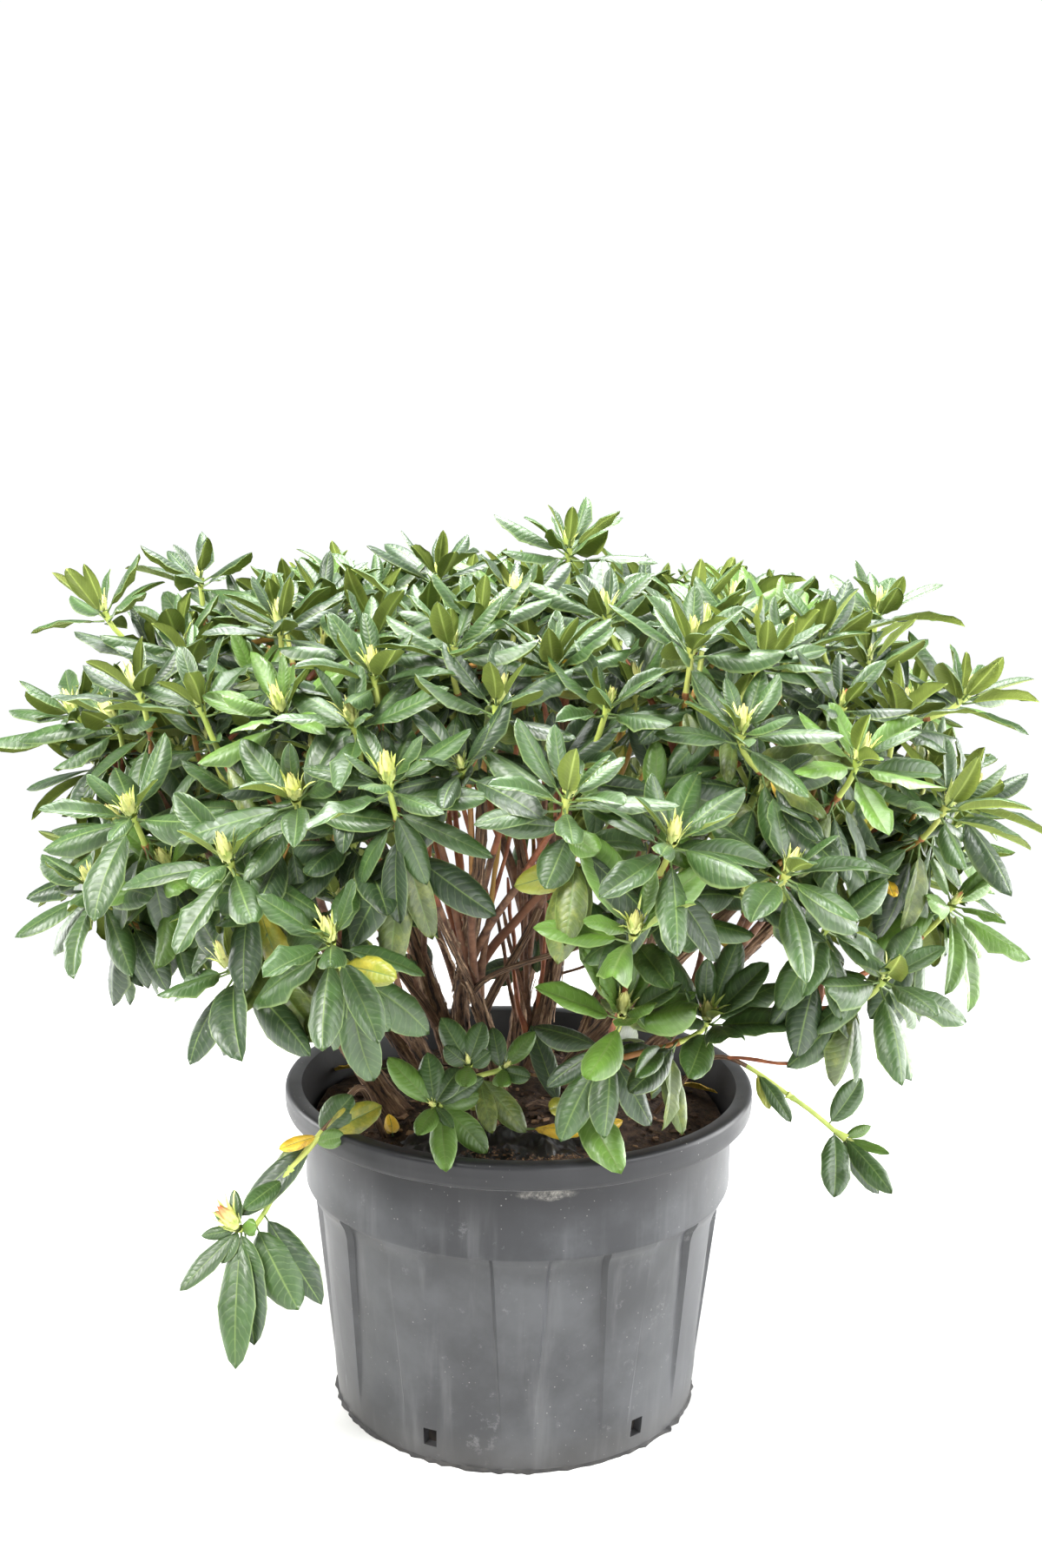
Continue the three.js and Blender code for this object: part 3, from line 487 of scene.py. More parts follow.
def tube(centres, ways, radii, sides):
    """Vertices of a tube, and their uv: turn round it, and length along it in centimetres."""
    across, over = ring_frames(ways)
    angles = np.linspace(0, 2 * np.pi, sides, endpoint=False)
    spokes = (across[:, None] * np.cos(angles)[None, :, None]
              + over[:, None] * np.sin(angles)[None, :, None])
    radii = np.broadcast_to(np.asarray(radii, float).reshape(len(centres), -1), (len(centres), sides))
    vertices = centres[:, None] + spokes * radii[..., None]
    walked = np.concatenate([[0], np.cumsum(np.linalg.norm(np.diff(centres, axis=0), axis=1))])
    return vertices, table_of(angles[None] / (2 * np.pi), walked[:, None] / 10)


# ---- The crown's places, by the source's rule ----


def crown_level(point):
    """Size of the dome through a point, as a share of the crown's own dome."""
    across = math.hypot(point[0] / CROWN["half_width"], point[1] / CROWN["half_depth"])
    upward = abs(point[2] - CROWN["middle"]) / CROWN["half_height"]
    return (across ** CROWN["power"] + upward ** CROWN["power"]) ** (1 / CROWN["power"])


def crown_normal(point):
    level = crown_level(point)
    return unit(np.array([crown_level(point + step) - level for step in np.eye(3)]))


def up_and_out(place, turn):
    return unit(crown_normal(place) * turn["outward"] + UP * turn["upright"])


def hem_height(azimuth):
    off = (azimuth - CROWN["front_azimuth"]) / CROWN["front_width"]
    return CROWN["hem"] + (CROWN["front_hem"] - CROWN["hem"]) * math.exp(-off * off)


def draw_place(draw, level, spread):
    """A random azimuth and place on a shell of the dome."""
    azimuth = 360 * draw()
    rise = 1.35 * draw() - 0.35
    wanted = level + spread * (2 * draw() - 1)
    ray = polar(azimuth, math.sqrt(1 - rise * rise), rise)
    middle = UP * CROWN["middle"]
    return azimuth, middle + ray * wanted / crown_level(middle + ray)


def fill_places(places, total, draw, level, spread):
    """Adds places until there are enough, each the loneliest of several drawn. Yields the new ones."""
    while len(places) < total:
        best, best_gap = None, 0
        for _ in range(CROWN["tries"]):
            azimuth, place = draw_place(draw, level, spread)
            gap = np.linalg.norm(np.array(places) - place, axis=1).min()
            if place[2] > hem_height(azimuth) and gap > best_gap:
                best, best_gap = place, gap
        if best is not None:
            places.append(best)
            yield best


class Mass:
    """A mass of foliage: the places of its buds, its twigs, and how its leaves hang."""

    def __init__(self, name, shoots, start, number, depth=MASS_DEPTH, leaf_size=1.0, droop=0.5, facing=None,
                 has_whorls=True):
        self.name, self.shoots, self.start = name, shoots, start
        self.seed = CROWN["seed"] + 10 * number
        self.entry = shoots[0] - start * depth
        self.is_crown = name in CROWN_MASSES
        self.leaf_size, self.droop, self.has_whorls = leaf_size, droop, has_whorls
        self.facing = None if facing is None else unit(np.array(facing))

    def faces(self, tip):
        """The way that a bud at a place faces."""
        if self.is_crown:
            return up_and_out(tip, BUD)
        if self.facing is not None:
            return self.facing
        return unit(unit(tip - self.entry) + self.start)


def plan_masses():
    """All the masses, and the places of the crown's shoots, of which each mass gets those near it."""
    masses = []
    for name, place in CROWN_MASSES.items():
        leader = polar(*place)
        masses.append(Mass(name, [leader], up_and_out(leader, START), len(masses) + 1))

    def give(place):
        costs = [np.linalg.norm(mass.shoots[0] - place) + CROWN["crowding"] * len(mass.shoots)
                 for mass in masses]
        masses[int(np.argmin(costs))].shoots.append(place)

    leading = [polar(*place) for place in LEADING_SHOOTS]
    places = [mass.shoots[0] for mass in masses] + leading
    for place in leading:
        give(place)
    draw = seeded(CROWN["seed"])
    for place in fill_places(places, CROWN["shoots"], draw, CROWN["shell"], CROWN["shell_spread"]):
        give(place)
    for name, row in LOW_MASSES.items():
        shoots = [np.array(place, float) for place in row["shoots"]]
        habit = {key: value for key, value in row.items() if key not in ("start", "shoots")}
        masses.append(Mass(name, shoots, unit(np.array(row["start"])), len(masses) + 1, **habit))
    return masses, places


# ---- Limbs and twigs ----


def free_radius(height):
    """Radius that is free inside the tub."""
    share = height / TUB["wall_top"]
    return lerp(TUB["base_radius"], TUB["wall_top_radius"], share) - TUB["flute_depth"] - TUB["wall"]


def soil_height(reach):
    inner = lerp(SOIL["crest"], SOIL["shoulder"], np.minimum(reach / SOIL["shoulder_radius"], 1))
    run = (reach - SOIL["shoulder_radius"]) / (free_radius(SOIL["edge"]) - SOIL["shoulder_radius"])
    return np.where(reach < SOIL["shoulder_radius"], inner, lerp(SOIL["shoulder"], SOIL["edge"], run))


class Limb:
    """A tapering stem or bough along a curve, thicker at its very foot by its flare."""

    def __init__(self, curve, start_radius, end_radius, flare=1.0):
        self.curve, self.start_radius, self.end_radius, self.flare = curve, start_radius, end_radius, flare


def plan_limbs(masses):
    """Every stem and bough by name."""
    named = {mass.name: mass for mass in masses}
    limbs = {}
    for name, (foot, lean, toward, radius, mass_name, arch) in STEMS.items():
        mass = named[mass_name]
        way = polar(toward, math.sin(math.radians(lean)), math.cos(math.radians(lean)))
        ground = np.array([*foot, float(soil_height(math.hypot(*foot)))])
        curve = Curve(ground - way * LIMB["buried"], way, mass.entry, mass.start, arch)
        limbs[name] = Limb(curve, radius, min(LIMB["tip_radius"], radius), LIMB["flare"])
    for mass_name, (stem_name, share) in BOUGHS.items():
        mass, stem = named[mass_name], limbs[stem_name]
        start = stem.curve.at(share)
        way = unit(stem.curve.way(share) + unit(mass.entry - start))
        radius = LIMB["bough_share"] * lerp(stem.start_radius, stem.end_radius, share)
        curve = Curve(start, way, mass.entry, mass.start)
        limbs["bough_" + mass_name] = Limb(curve, max(radius, LIMB["tip_radius"]), LIMB["tip_radius"] - 1)
    return limbs


class Shoot:
    """A twig with a bud at its tip."""

    def __init__(self, mass, curve, start_radius, seed, is_fine=False, firm_leaves=0):
        self.mass, self.curve, self.start_radius = mass, curve, start_radius
        self.is_fine, self.firm_leaves = is_fine, firm_leaves
        self.draw = seeded(seed)
        self.axis = curve.way(1.0)
        self.tip = curve.at(1.0)
        self.green = min(self.draw(*SHOOT["green"]), 0.5 * curve.length)
        if not mass.has_whorls:
            self.green = curve.length - SHOOT["node_length"] - SHOOT["bare_foot"]


def grow_shoots(masses):
    """The shoots of the source's rule: one leader to each mass, and the others branching off it."""
    shoots = []
    for mass in masses:
        draw = seeded(mass.seed)
        leader = Curve(mass.entry, mass.start, mass.shoots[0], mass.faces(mass.shoots[0]))
        curves = [leader]
        for tip in mass.shoots[1:]:
            fork = lerp(TWIG["first_fork"], TWIG["last_fork"], draw())
            sway = np.array([draw() - 0.5, draw() - 0.5, draw() - 0.5]) * TWIG["sway"]
            start = leader.at(fork)
            away = unit(unit(tip - start) + leader.way(fork))
            curves.append(Curve(start, away, tip, unit(mass.faces(tip) + sway)))
        for i, curve in enumerate(curves):
            radius = SHOOT["foot_radius"] if i else SHOOT["leader_radius"]
            firm_leaves = FIRM_SHOOTS.get((mass.name, i), 0)
            shoots.append(Shoot(mass, curve, radius, mass.seed + 1000 * (i + 1), firm_leaves=firm_leaves))
    return shoots


def reluctance(fork, place):
    """How little a fork low on a stem suits a place: far from it, or off its line."""
    curve, share = fork
    gap = place - curve.at(share)
    return np.linalg.norm(gap) * (FINE["turn_cost"] - np.dot(unit(gap), curve.way(share)))


def grow_fine_shoots(shoots, limbs, places):
    """Finer shoots between the others. Each leaves the nearest twig that lies further inside."""
    forks = [(shoot, share, shoot.curve.at(share)) for shoot in shoots if shoot.mass.is_crown
             for share in FINE["forks"]]
    points = np.array([point for *_, point in forks])
    levels = np.array([crown_level(point) for point in points])
    low_forks = [(limb.curve, share) for name, limb in limbs.items() if name.startswith("stem")
                 for share in FINE["low_forks"]]
    draw = seeded(CROWN["seed"] + 1)
    fine = []
    wanted = CROWN["shoots"] + FINE["shoots"]
    for place in fill_places(places, wanted, draw, FINE["level"], FINE["level_spread"]):
        gaps = np.linalg.norm(points - place, axis=1)
        gaps[levels > crown_level(place) - FINE["inward"]] = np.inf
        gaps[gaps < FINE["least_length"]] = np.inf
        nearest = int(np.argmin(gaps))
        if gaps[nearest] > FINE["most_length"]:
            continue
        parent, share, start = forks[nearest]
        curve, radius = parent.curve, FINE["radius"]
        if len(fine) % FINE["low_every"] == 0:
            curve, share = min(low_forks, key=lambda fork: reluctance(fork, place) * draw(1, 1.5))
            start, radius = curve.at(share), draw(*FINE["low_radius"])
        away = unit(unit(place - start) + curve.way(share))
        sway = np.array([draw(-FINE["sway"], FINE["sway"]) for _ in range(3)])
        twig = Curve(start, away, place, unit(parent.mass.faces(place) + sway))
        seed = CROWN["seed"] + 7 * len(fine) + SEEDS["fine"]
        fine.append(Shoot(parent.mass, twig, radius, seed, is_fine=True))
    return fine


def grow_inner_twigs(limbs):
    """Curves of the lean stems and bare twigs in the open front."""
    curves = {name: limb.curve for name, limb in limbs.items()}
    for name, (carrier, share, tip, *_) in INNER_TWIGS.items():
        start, tip = curves[carrier].at(share), np.array(tip, float)
        straight = unit(tip - start)
        away = unit(straight + INNER_BEND["foot"] * curves[carrier].way(share))
        curves[name] = Curve(start, away, tip, unit(straight + INNER_BEND["tip"] * UP))
    return {name: curves[name] for name in INNER_TWIGS}


# ---- Leaves ----

LEAF_FIELDS = ["length", "width", "bend", "sweep", "twist", "fold", "roll", "wave", "phase", "petiole",
               "kind", "tint"]


class LeafTable:
    """Rows of leaves of one piece, made into blades all at once."""

    def __init__(self):
        self.places, self.numbers, self.keeps_clear = [], [], False

    def add(self, root, way, face, **numbers):
        face = unit(face - way * np.dot(face, way))
        self.places.append((root, way, face))
        self.numbers.append([numbers[field] for field in LEAF_FIELDS])


def outward(point):
    """The level way from the middle of the plant to a point."""
    return np.array([point[0], point[1], 0]) / max(1.0, math.hypot(point[0], point[1]))


def add_leaf(table, root, way, face, size, draw, kind, hang=0.0, turn_up=0.35):
    """One leaf. hang is 0 for a firm young leaf and 1 for a limp old one. turn_up is how far its
    upper side turns to the light, which comes from above and from outside the plant."""
    way = unit(way * (1 - LIE["less_way"] * hang) - UP * hang * LIE["drop"])
    face = unit(face * (1 - turn_up) + (UP + LIE["outward"] * outward(root)) * turn_up)
    length = size * draw(*LIE["length"])
    end = root + way * length
    if table.keeps_clear and any((low < end).all() and (end < high).all() for low, high in CLEAR_ROOMS):
        return
    is_folded = draw() < LIE["folded"] * (1 - hang)
    table.add(
        root, way, face,
        length=length * (1 - BLADE["petiole"]),
        width=length * width_share(root[2]) * draw(*LIE["width"]),
        bend=math.radians(draw(*LIE["bend"]) + LIE["hanging_bend"] * hang * draw(*LIE["bend_luck"])),
        sweep=math.radians(draw(*LIE["sweep"])),
        twist=math.radians(draw(*LIE["twist"])),
        fold=math.radians(draw(*LIE["fold"][is_folded])),
        roll=draw(*LIE["roll"][is_folded]),
        wave=draw(*LIE["wave"]),
        phase=draw(0, 6.28),
        petiole=length * BLADE["petiole"],
        kind=LEAF_KINDS.index(kind),
        tint=draw(),
    )


def single_leaf(table, root, tip, width, kind, draw):
    """One leaf from its root to a given tip, with its upper side to the light and the front."""
    lie = SINGLE_LIE
    length = float(np.linalg.norm(tip - root))
    way = (tip - root) / length
    bend = math.radians(draw(*lie["bend"]))
    face = lie["up"] * UP + lie["outward"] * outward(tip) + lie["front"] * FRONT
    table.add(
        root, unit(way + lie["arch"] * math.sin(bend) * UP), unit(face),
        length=length * lie["length"],
        width=lie["width"] * width,
        bend=bend,
        sweep=math.radians(draw(*lie["sweep"])),
        twist=math.radians(draw(*lie["twist"])),
        fold=math.radians(draw(*lie["fold"])),
        roll=draw(*lie["roll"]),
        wave=draw(*lie["wave"]),
        phase=draw(0, 6.28),
        petiole=length * lie["petiole"],
        kind=LEAF_KINDS.index(kind),
        tint=draw(*lie["tint"]),
    )


def width_share(height):
    """How wide a leaf is for its length: broader low down."""
    return lerp(BLADE["width_low"], BLADE["width_high"], smooth(*NARROWING, height))


def leaf_scale(shoot):
    """How large the leaves of a shoot are: smaller on top of the crown."""
    return shoot.mass.leaf_size * lerp(1, TOP_LEAF_SIZE, smooth(*SHORTENING, shoot.tip[2]))


def limpness(shoot):
    """How far the leaves of a shoot hang: firm on top of the crown, limp low down."""
    if shoot.firm_leaves:
        return LIMPNESS["firm"]
    if not shoot.mass.is_crown:
        return shoot.mass.droop
    return lerp(LIMPNESS["low"], LIMPNESS["top"], smooth(*FIRMING, shoot.tip[2]))


def young_kind(shoot):
    """Colour of a shoot's young leaves: fresher low down, and fresher still on full firm whorls there,
    partly as painted light for leaves in the crown's shade; deeper inside.
    """
    luck = shoot.draw()
    if shoot.tip[2] < FRESH_BELOW:
        # painted light: full firm whorls low in the crown's shade take the fresh kind far more often
        share = LUCK["fresh_firm_painted_light" if shoot.firm_leaves > FULL_WHORL else "fresh_low"]
        return "fresh" if luck < share else "mid"
    if luck < LUCK["fresh"]:
        return "fresh"
    return "deep" if luck > LUCK["mid_fine" if shoot.is_fine else "mid"] else "mid"


def old_kind(shoot):
    """Colour of one older leaf: a few are yellow or turning, but dull instead low down."""
    luck = shoot.draw()
    is_low = shoot.tip[2] <= AUTUMN_ABOVE
    if luck < LUCK["yellow_fine" if shoot.is_fine else "yellow"]:
        return "dull" if is_low else "yellow"
    if luck < LUCK["turning"]:
        return "dull" if is_low else "turning"
    return "dull" if luck < LUCK["dull"] else "deep" if luck < LUCK["old_deep"] else "mid"


def young_whorl(shoot, table):
    """The young leaves in a close spiral under the bud."""
    draw, axis = shoot.draw, shoot.axis
    across, over = sideways(axis)
    count = shoot.firm_leaves or int(draw(*WHORL["young_fine" if shoot.is_fine else "young"]))
    turn = draw(0, 360)
    kind = young_kind(shoot)
    last_rise = WHORL["firm_rise"] if shoot.firm_leaves else lerp(*WHORL["last_rise"], limpness(shoot))
    for i in range(count):
        low = i / (count - 1)
        out = turned(across, over, math.radians(turn + GOLDEN_TURN * i + draw(*WHORL["turn_luck"])))
        rise = math.radians(lerp(WHORL["young_rise"], last_rise, low ** 0.8) + draw(*WHORL["rise_luck"]))
        root = shoot.tip - axis * lerp(*WHORL["roots"], low) + out * SHOOT["green_radius"]
        first_grown, growth = WHORL["grown"]
        full_size = lerp(*WHORL["young_length"], min(1.0, first_grown + growth * low))
        size = leaf_scale(shoot) * full_size * draw(*WHORL["size_luck"])
        leaf_kind = kind if draw() < LUCK["whorl"] else "mid"
        hang = limpness(shoot) * low ** 0.7
        add_leaf(table, root, turned(out, axis, rise), turned(axis, -out, rise), size, draw, leaf_kind, hang,
                 turn_up=lerp(*WHORL["turn_up"], hang))


def older_whorl(shoot, table):
    """The larger leaves of the year before, at the foot of the green wood."""
    draw = shoot.draw
    share = 1 - shoot.green / shoot.curve.length
    centre, axis = shoot.curve.at(share), shoot.curve.way(share)
    across, over = sideways(axis)
    count = int(draw(*WHORL["older_fine" if shoot.is_fine else "older"]))
    turn = draw(0, 360)
    for i in range(count):
        out = turned(across, over, math.radians(turn + GOLDEN_TURN * i + draw(*WHORL["older_turn_luck"])))
        rise = math.radians(draw(*WHORL["older_rise"]))
        root = centre - axis * (WHORL["older_pitch"] * i) + out * SHOOT["radius"]
        size = leaf_scale(shoot) * draw(*WHORL["older_length"])
        add_leaf(table, root, turned(out, axis, rise), turned(axis, -out, rise), size, draw, old_kind(shoot),
                 lerp(*WHORL["older_hang"], limpness(shoot)), turn_up=WHORL["older_turn_up"])


def blade_outline(along):
    """Half width of a leaf along it, as a share of its greatest half width."""
    return np.maximum(np.sin(np.pi * along ** 1.05), 0) ** 0.6 + 0.03 * (1 - along)


def blade_faces(rows, columns):
    """Triangles of a blade's upper side, and which of them are on the midrib. Their diagonals mirror
    each other across it. The underside has the same ones reversed, so that it never comes through."""
    quads = grid_faces(rows, columns)
    column = np.tile(np.arange(columns - 1), rows - 1)
    left = np.stack([quads[:, [0, 1, 2]], quads[:, [0, 2, 3]]], axis=1)
    right = np.stack([quads[:, [0, 1, 3]], quads[:, [1, 2, 3]]], axis=1)
    faces = np.where((column < columns // 2)[:, None, None], left, right).reshape(-1, 3)
    return faces, np.repeat(column == columns // 2 - 1, 2)


def repeated(faces, count, vertices):
    """The faces of one shape for many copies of it, each with so many vertices."""
    return (faces + np.arange(count)[:, None, None] * vertices).reshape(-1, faces.shape[1])


def blade_frames(way, side, face, field):
    """Ways along, out of and across each blade at each row, as it sweeps, bends and twists."""
    along = BLADE["along"]
    bend = (field["bend"][:, None] * along ** 1.4)[..., None]
    sweep = (field["sweep"][:, None] * along)[..., None]
    twist = (field["twist"][:, None] * along)[..., None]
    level = way[:, None] * np.cos(sweep) + side[:, None] * np.sin(sweep)
    forward = level * np.cos(bend) - face[:, None] * np.sin(bend)
    facing = level * np.sin(bend) + face[:, None] * np.cos(bend)
    beside = np.cross(forward, facing)
    return (forward, facing * np.cos(twist) + beside * np.sin(twist),
            beside * np.cos(twist) - facing * np.sin(twist))


def blades(table, bag):
    """Adds all the leaves of a table to a bag: upper side, underside, midrib and stalk."""
    root, way, face = (np.array(column) for column in zip(*table.places))
    field = dict(zip(LEAF_FIELDS, np.array(table.numbers).T))
    along, across = BLADE["along"], BLADE["across"]
    count, rows, columns = len(root), len(along), len(across)
    side = np.cross(way, face)
    forward, facing, beside = blade_frames(way, side, face, field)

    base = root + way * field["petiole"][:, None]
    steps = (forward[:, 1:] + forward[:, :-1]) / 2 * np.diff(along)[None, :, None]
    walked = np.concatenate([np.zeros((count, 1, 3)), np.cumsum(steps, axis=1)], axis=1)
    spine = base[:, None] + walked * field["length"][:, None, None]

    half = ((field["width"] / 2)[:, None] * blade_outline(along))[..., None]
    share = np.abs(across)
    fold, roll, wave, phase = (field[name][:, None, None] for name in ("fold", "roll", "wave", "phase"))
    ripple = wave * np.sin(2 * np.pi * BLADE["ripples"] * along[None, :, None] + phase + 2.1 * (across > 0))
    height = half * (share * np.sin(fold) + BLADE["bulge"] * (share - share ** 2)
                     - roll * share ** 3 + ripple * share ** 2)
    out = half * across * np.cos(fold * 0.8) * (1 - 0.3 * roll * share ** 2)
    middle = spine[:, :, None] + beside[:, :, None] * out[..., None] + facing[:, :, None] * height[..., None]
    groove = np.where(share < BLADE["rib_half"], BLADE["groove"], 0.0)[:, None]
    ridge = np.where(share < BLADE["rib_half"], BLADE["ridge"], 0.0) * (1 - 0.8 * along[:, None])
    thickness = BLADE["thickness"] * (1 - 0.7 * share ** 3) + ridge

    uv = np.tile(table_of((across + 1) / 2, along[:, None]), (count, 1, 1, 1))
    tint = np.repeat(field["tint"], rows * columns)
    faces, is_rib = blade_faces(rows, columns)
    faces = repeated(faces, count, rows * columns)
    kind = field["kind"].astype(int)[:, None]
    rib_slot = len(LEAF_KINDS) + len(UNDER_COLOURS)
    under_slot = len(LEAF_KINDS) + (kind >= LEAF_KINDS.index("turning"))
    bag.add(middle - facing[:, :, None] * groove, faces, np.where(is_rib, rib_slot, kind).ravel(), uv, tint)
    bag.add(middle - facing[:, :, None] * thickness[..., None], faces[:, ::-1],
            np.where(is_rib, rib_slot + 1, under_slot).ravel(), uv, tint)
    stalks(bag, root, base, face, side, field["tint"], rib_slot)


def stalks(bag, root, base, face, side, tint, slot):
    """The leaf stalks, as three-sided prisms that run on into the midribs."""
    angles = np.radians([90, 210, 330])[:, None]
    spokes = side[:, None] * np.cos(angles) + face[:, None] * np.sin(angles)
    run = (base - root) / np.linalg.norm(base - root, axis=1, keepdims=True)
    centres = (root, (root + base) / 2, base + run * STALK["into_rib"])
    rings = np.stack([centre[:, None] + spokes * radius - face[:, None] * sunk
                      for centre, radius, sunk in zip(centres, STALK["radii"], STALK["sunk"])], axis=1)
    faces = repeated(grid_faces(3, 3, is_ring=True), len(root), 9)
    bag.add(rings, faces, slot, np.full((len(root) * 9, 2), 0.5), np.repeat(tint, 9))


# ---- Buds ----

BUD_SHAPE = {"length": 43, "radius": 8.8, "core": 0.93, "scales": 17, "green_share": 0.3, "bracts": 9}
# Of the lowest scale and the highest: its foot and length along the bud, half its turn, and its lift
SCALE = {
    "foot": (0.02, 0.6), "length": (0.34, 0.42), "half_turn": (0.42, 0.62), "lift": (0.5, 0.14),
    "lift_luck": (0.2, 1.5),
}
BRACT = {"length": (18, 40), "width": (1.4, 3.2), "lean": (0, 30), "foot": (0, 14), "out": 7.5, "ridge": 0.8}


def bud_radius(share):
    """Radius of the bud's body along it, as a share of the greatest."""
    return np.maximum(np.sin(np.pi * share ** 0.66), 0) ** 0.8 * (1 - 0.3 * share) + 0.02


def add_scale(bag, low, angle, draw):
    """One scale of a bud, from low 0 at its foot to 1 near its point."""
    foot = lerp(*SCALE["foot"], low)
    head = min(foot + lerp(*SCALE["length"], low), 1.0)
    half_turn, lift = lerp(*SCALE["half_turn"], low), lerp(*SCALE["lift"], low) * draw(*SCALE["lift_luck"])
    side, step = np.array([-1, 0, 1]), np.linspace(0, 1, 4)[:, None]
    share = lerp(foot, head, step)
    turn = angle + side * (half_turn * (1 - step ** 2.2) + 0.03)
    reach = (bud_radius(share) + lift * step ** 2) * BUD_SHAPE["radius"] + np.where(side == 0, 1.3, 0.3)
    scale = table_of(reach * np.cos(turn), reach * np.sin(turn), share * BUD_SHAPE["length"])
    slot = 1 if low < BUD_SHAPE["green_share"] else 0
    bag.add(scale, grid_faces(4, 3), slot, table_of((side + 1) / 2, share), draw())


def add_bract(bag, angle, draw):
    """A small loose leafy scale that stands off the foot of the bud."""
    out = turned(np.array([1, 0, 0]), np.array([0, 1, 0]), angle)
    side = np.cross(UP, out)
    length, width = draw(*BRACT["length"]), draw(*BRACT["width"])
    lean = math.radians(draw(*BRACT["lean"]))
    foot = draw(*BRACT["foot"])
    rows = []
    for share in (0, 0.35, 0.75, 1):
        centre = out * BRACT["out"] + UP * foot + turned(UP, out, lean * (0.4 + share)) * length * share
        half = width * math.sin(math.pi * (0.18 + 0.8 * share)) + 0.15
        rows += [centre - side * half, centre + out * BRACT["ridge"], centre + side * half]
    bag.add(rows, grid_faces(4, 3), 1, np.tile([0.5, 0.1], (12, 1)), draw())


def bud_template(seed):
    """A bud standing on +Z: a pointed body, scales in a spiral, and bracts."""
    bag = Bag()
    draw = seeded(seed)
    share = np.linspace(0, 1, 7)
    radii = bud_radius(share) * BUD_SHAPE["radius"] * BUD_SHAPE["core"]
    body, _ = tube(UP * (share * BUD_SHAPE["length"])[:, None], np.tile(UP, (7, 1)), radii, 8)
    bag.add_tube(body, table_of(np.zeros(8), share[:, None]))
    for i in range(BUD_SHAPE["scales"]):
        add_scale(bag, i / (BUD_SHAPE["scales"] - 1), math.radians(GOLDEN_TURN * i), draw)
    for i in range(BUD_SHAPE["bracts"]):
        add_bract(bag, math.radians(GOLDEN_TURN * i + draw(-20, 20)), draw)
    return bag


def add_bud(bag, template, shoot, size, is_red=False):
    """A copy of a bud at the tip of a shoot."""
    axis = shoot.axis
    x_way = turned(*sideways(axis), shoot.draw(0, 6.28))
    basis = np.array([x_way, np.cross(axis, x_way), axis]) * size
    tint = shoot.draw()
    for vertices, faces, slots, uvs, tints in template.parts:
        if is_red:
            slots = np.where(slots == 0, 2, slots)
        bag.add(vertices @ basis + shoot.tip, faces - faces.min(), slots, uvs, (tints + tint) / 2)


# ---- Twigs and bark ----

CROOKED = {"twig": (0.012, 5), "inner": (0.014, 6)}     # pitch and reach of their wandering
TWIG_MESH = {"step": 16, "least_rings": 4, "green_rings": 5, "sides": 7, "swelling": 2.2}
INNER_MESH = {"step": 14, "least_rings": 7, "sides": 8, "knots": 0.12, "knot_pitch": 9, "cut_end": 0.6}
BARK_FROM = 6       # radius at its end above which an inner twig has bark
BARK = {
    "width": 6.0, "length": 50.0, "depth": 0.14, "most_depth": 2.6,     # of its fissures
    "step": 9, "thick": 12, "sides": (14, 22),      # rings of its mesh, and sides of thin and thick limbs
    "flare_length": 40, "blend": 0.06, "green_blend": 0.05,
}
STRIP = {"every": 17, "length": (30, 95), "width": (1.6, 5.0), "curl": (0.3, 3.8), "thickness": 0.8}


def crooked(curve, shares, pitch, reach):
    """Points along a curve that wander off it between its ends."""
    centres = curve.at(shares)
    wander = np.array([noise.noise_vector(Vector(point * pitch)) for point in centres])
    return centres + wander * reach * (np.sin(np.pi * shares) ** 0.5)[:, None]


def add_twig(bag, shoot):
    """A twig in the colours of its years: green wood, a ring of old scars, russet wood, brown wood."""
    curve, length, ring = shoot.curve, shoot.curve.length, SHOOT["node_length"]
    node = length - shoot.green
    steps = max(TWIG_MESH["least_rings"], int(node / TWIG_MESH["step"]))
    lengths = np.concatenate([
        np.linspace(0, node - ring, steps), [node - 0.6 * ring, node - 0.2 * ring, node + 0.3 * ring],
        np.linspace(node + ring, length, TWIG_MESH["green_rings"]),
    ])
    shares = lengths / length
    radii = lerp(shoot.start_radius, SHOOT["radius"], np.minimum(lengths / node, 1))
    radii = np.where(lengths > node, SHOOT["green_radius"], radii)
    radii[steps:steps + 3] = SHOOT["radius"] * np.array(SHOOT["scars"])
    radii[-1] = TWIG_MESH["swelling"] * SHOOT["radius"]
    centres = crooked(curve, shares, *CROOKED["twig"])
    vertices, uv = tube(centres, curve.way(shares), radii, TWIG_MESH["sides"])
    middles = (lengths[1:] + lengths[:-1]) / 2
    russet_from = node - shoot.draw(*SHOOT["russet"])
    slot = np.select([middles > node + 0.6 * ring, middles > node - ring, middles > russet_from],
                     [GREEN, RING, RUSSET], BROWN)
    if not shoot.mass.has_whorls:
        slot = GREEN
    bag.add_tube(vertices, uv, slot, shoot.draw())


def add_inner_twigs(twigs, bark, limbs):
    """The lean stems and bare twigs of the open front: the thick ones with bark, the thin ones without."""
    draw = seeded(SEEDS["inner"])
    for name, curve in grow_inner_twigs(limbs).items():
        *_, start_radius, end_radius, tone = INNER_TWIGS[name]
        if end_radius > BARK_FROM:
            add_limb(bark, Limb(curve, start_radius, end_radius), draw())
            continue
        slot, tint = TWIG_TONES[tone]
        mesh = INNER_MESH
        shares = np.linspace(0, 1, max(mesh["least_rings"], int(curve.length / mesh["step"])))
        knots = 1 + mesh["knots"] * np.sin(shares * curve.length / mesh["knot_pitch"] + draw(0, 6))
        radii = lerp(start_radius, end_radius, shares) * knots
        radii[-1] *= mesh["cut_end"]
        centres = crooked(curve, shares, *CROOKED["inner"])
        vertices, uv = tube(centres, curve.way(shares), radii, mesh["sides"])
        twigs.add_tube(vertices, uv, slot, tint)


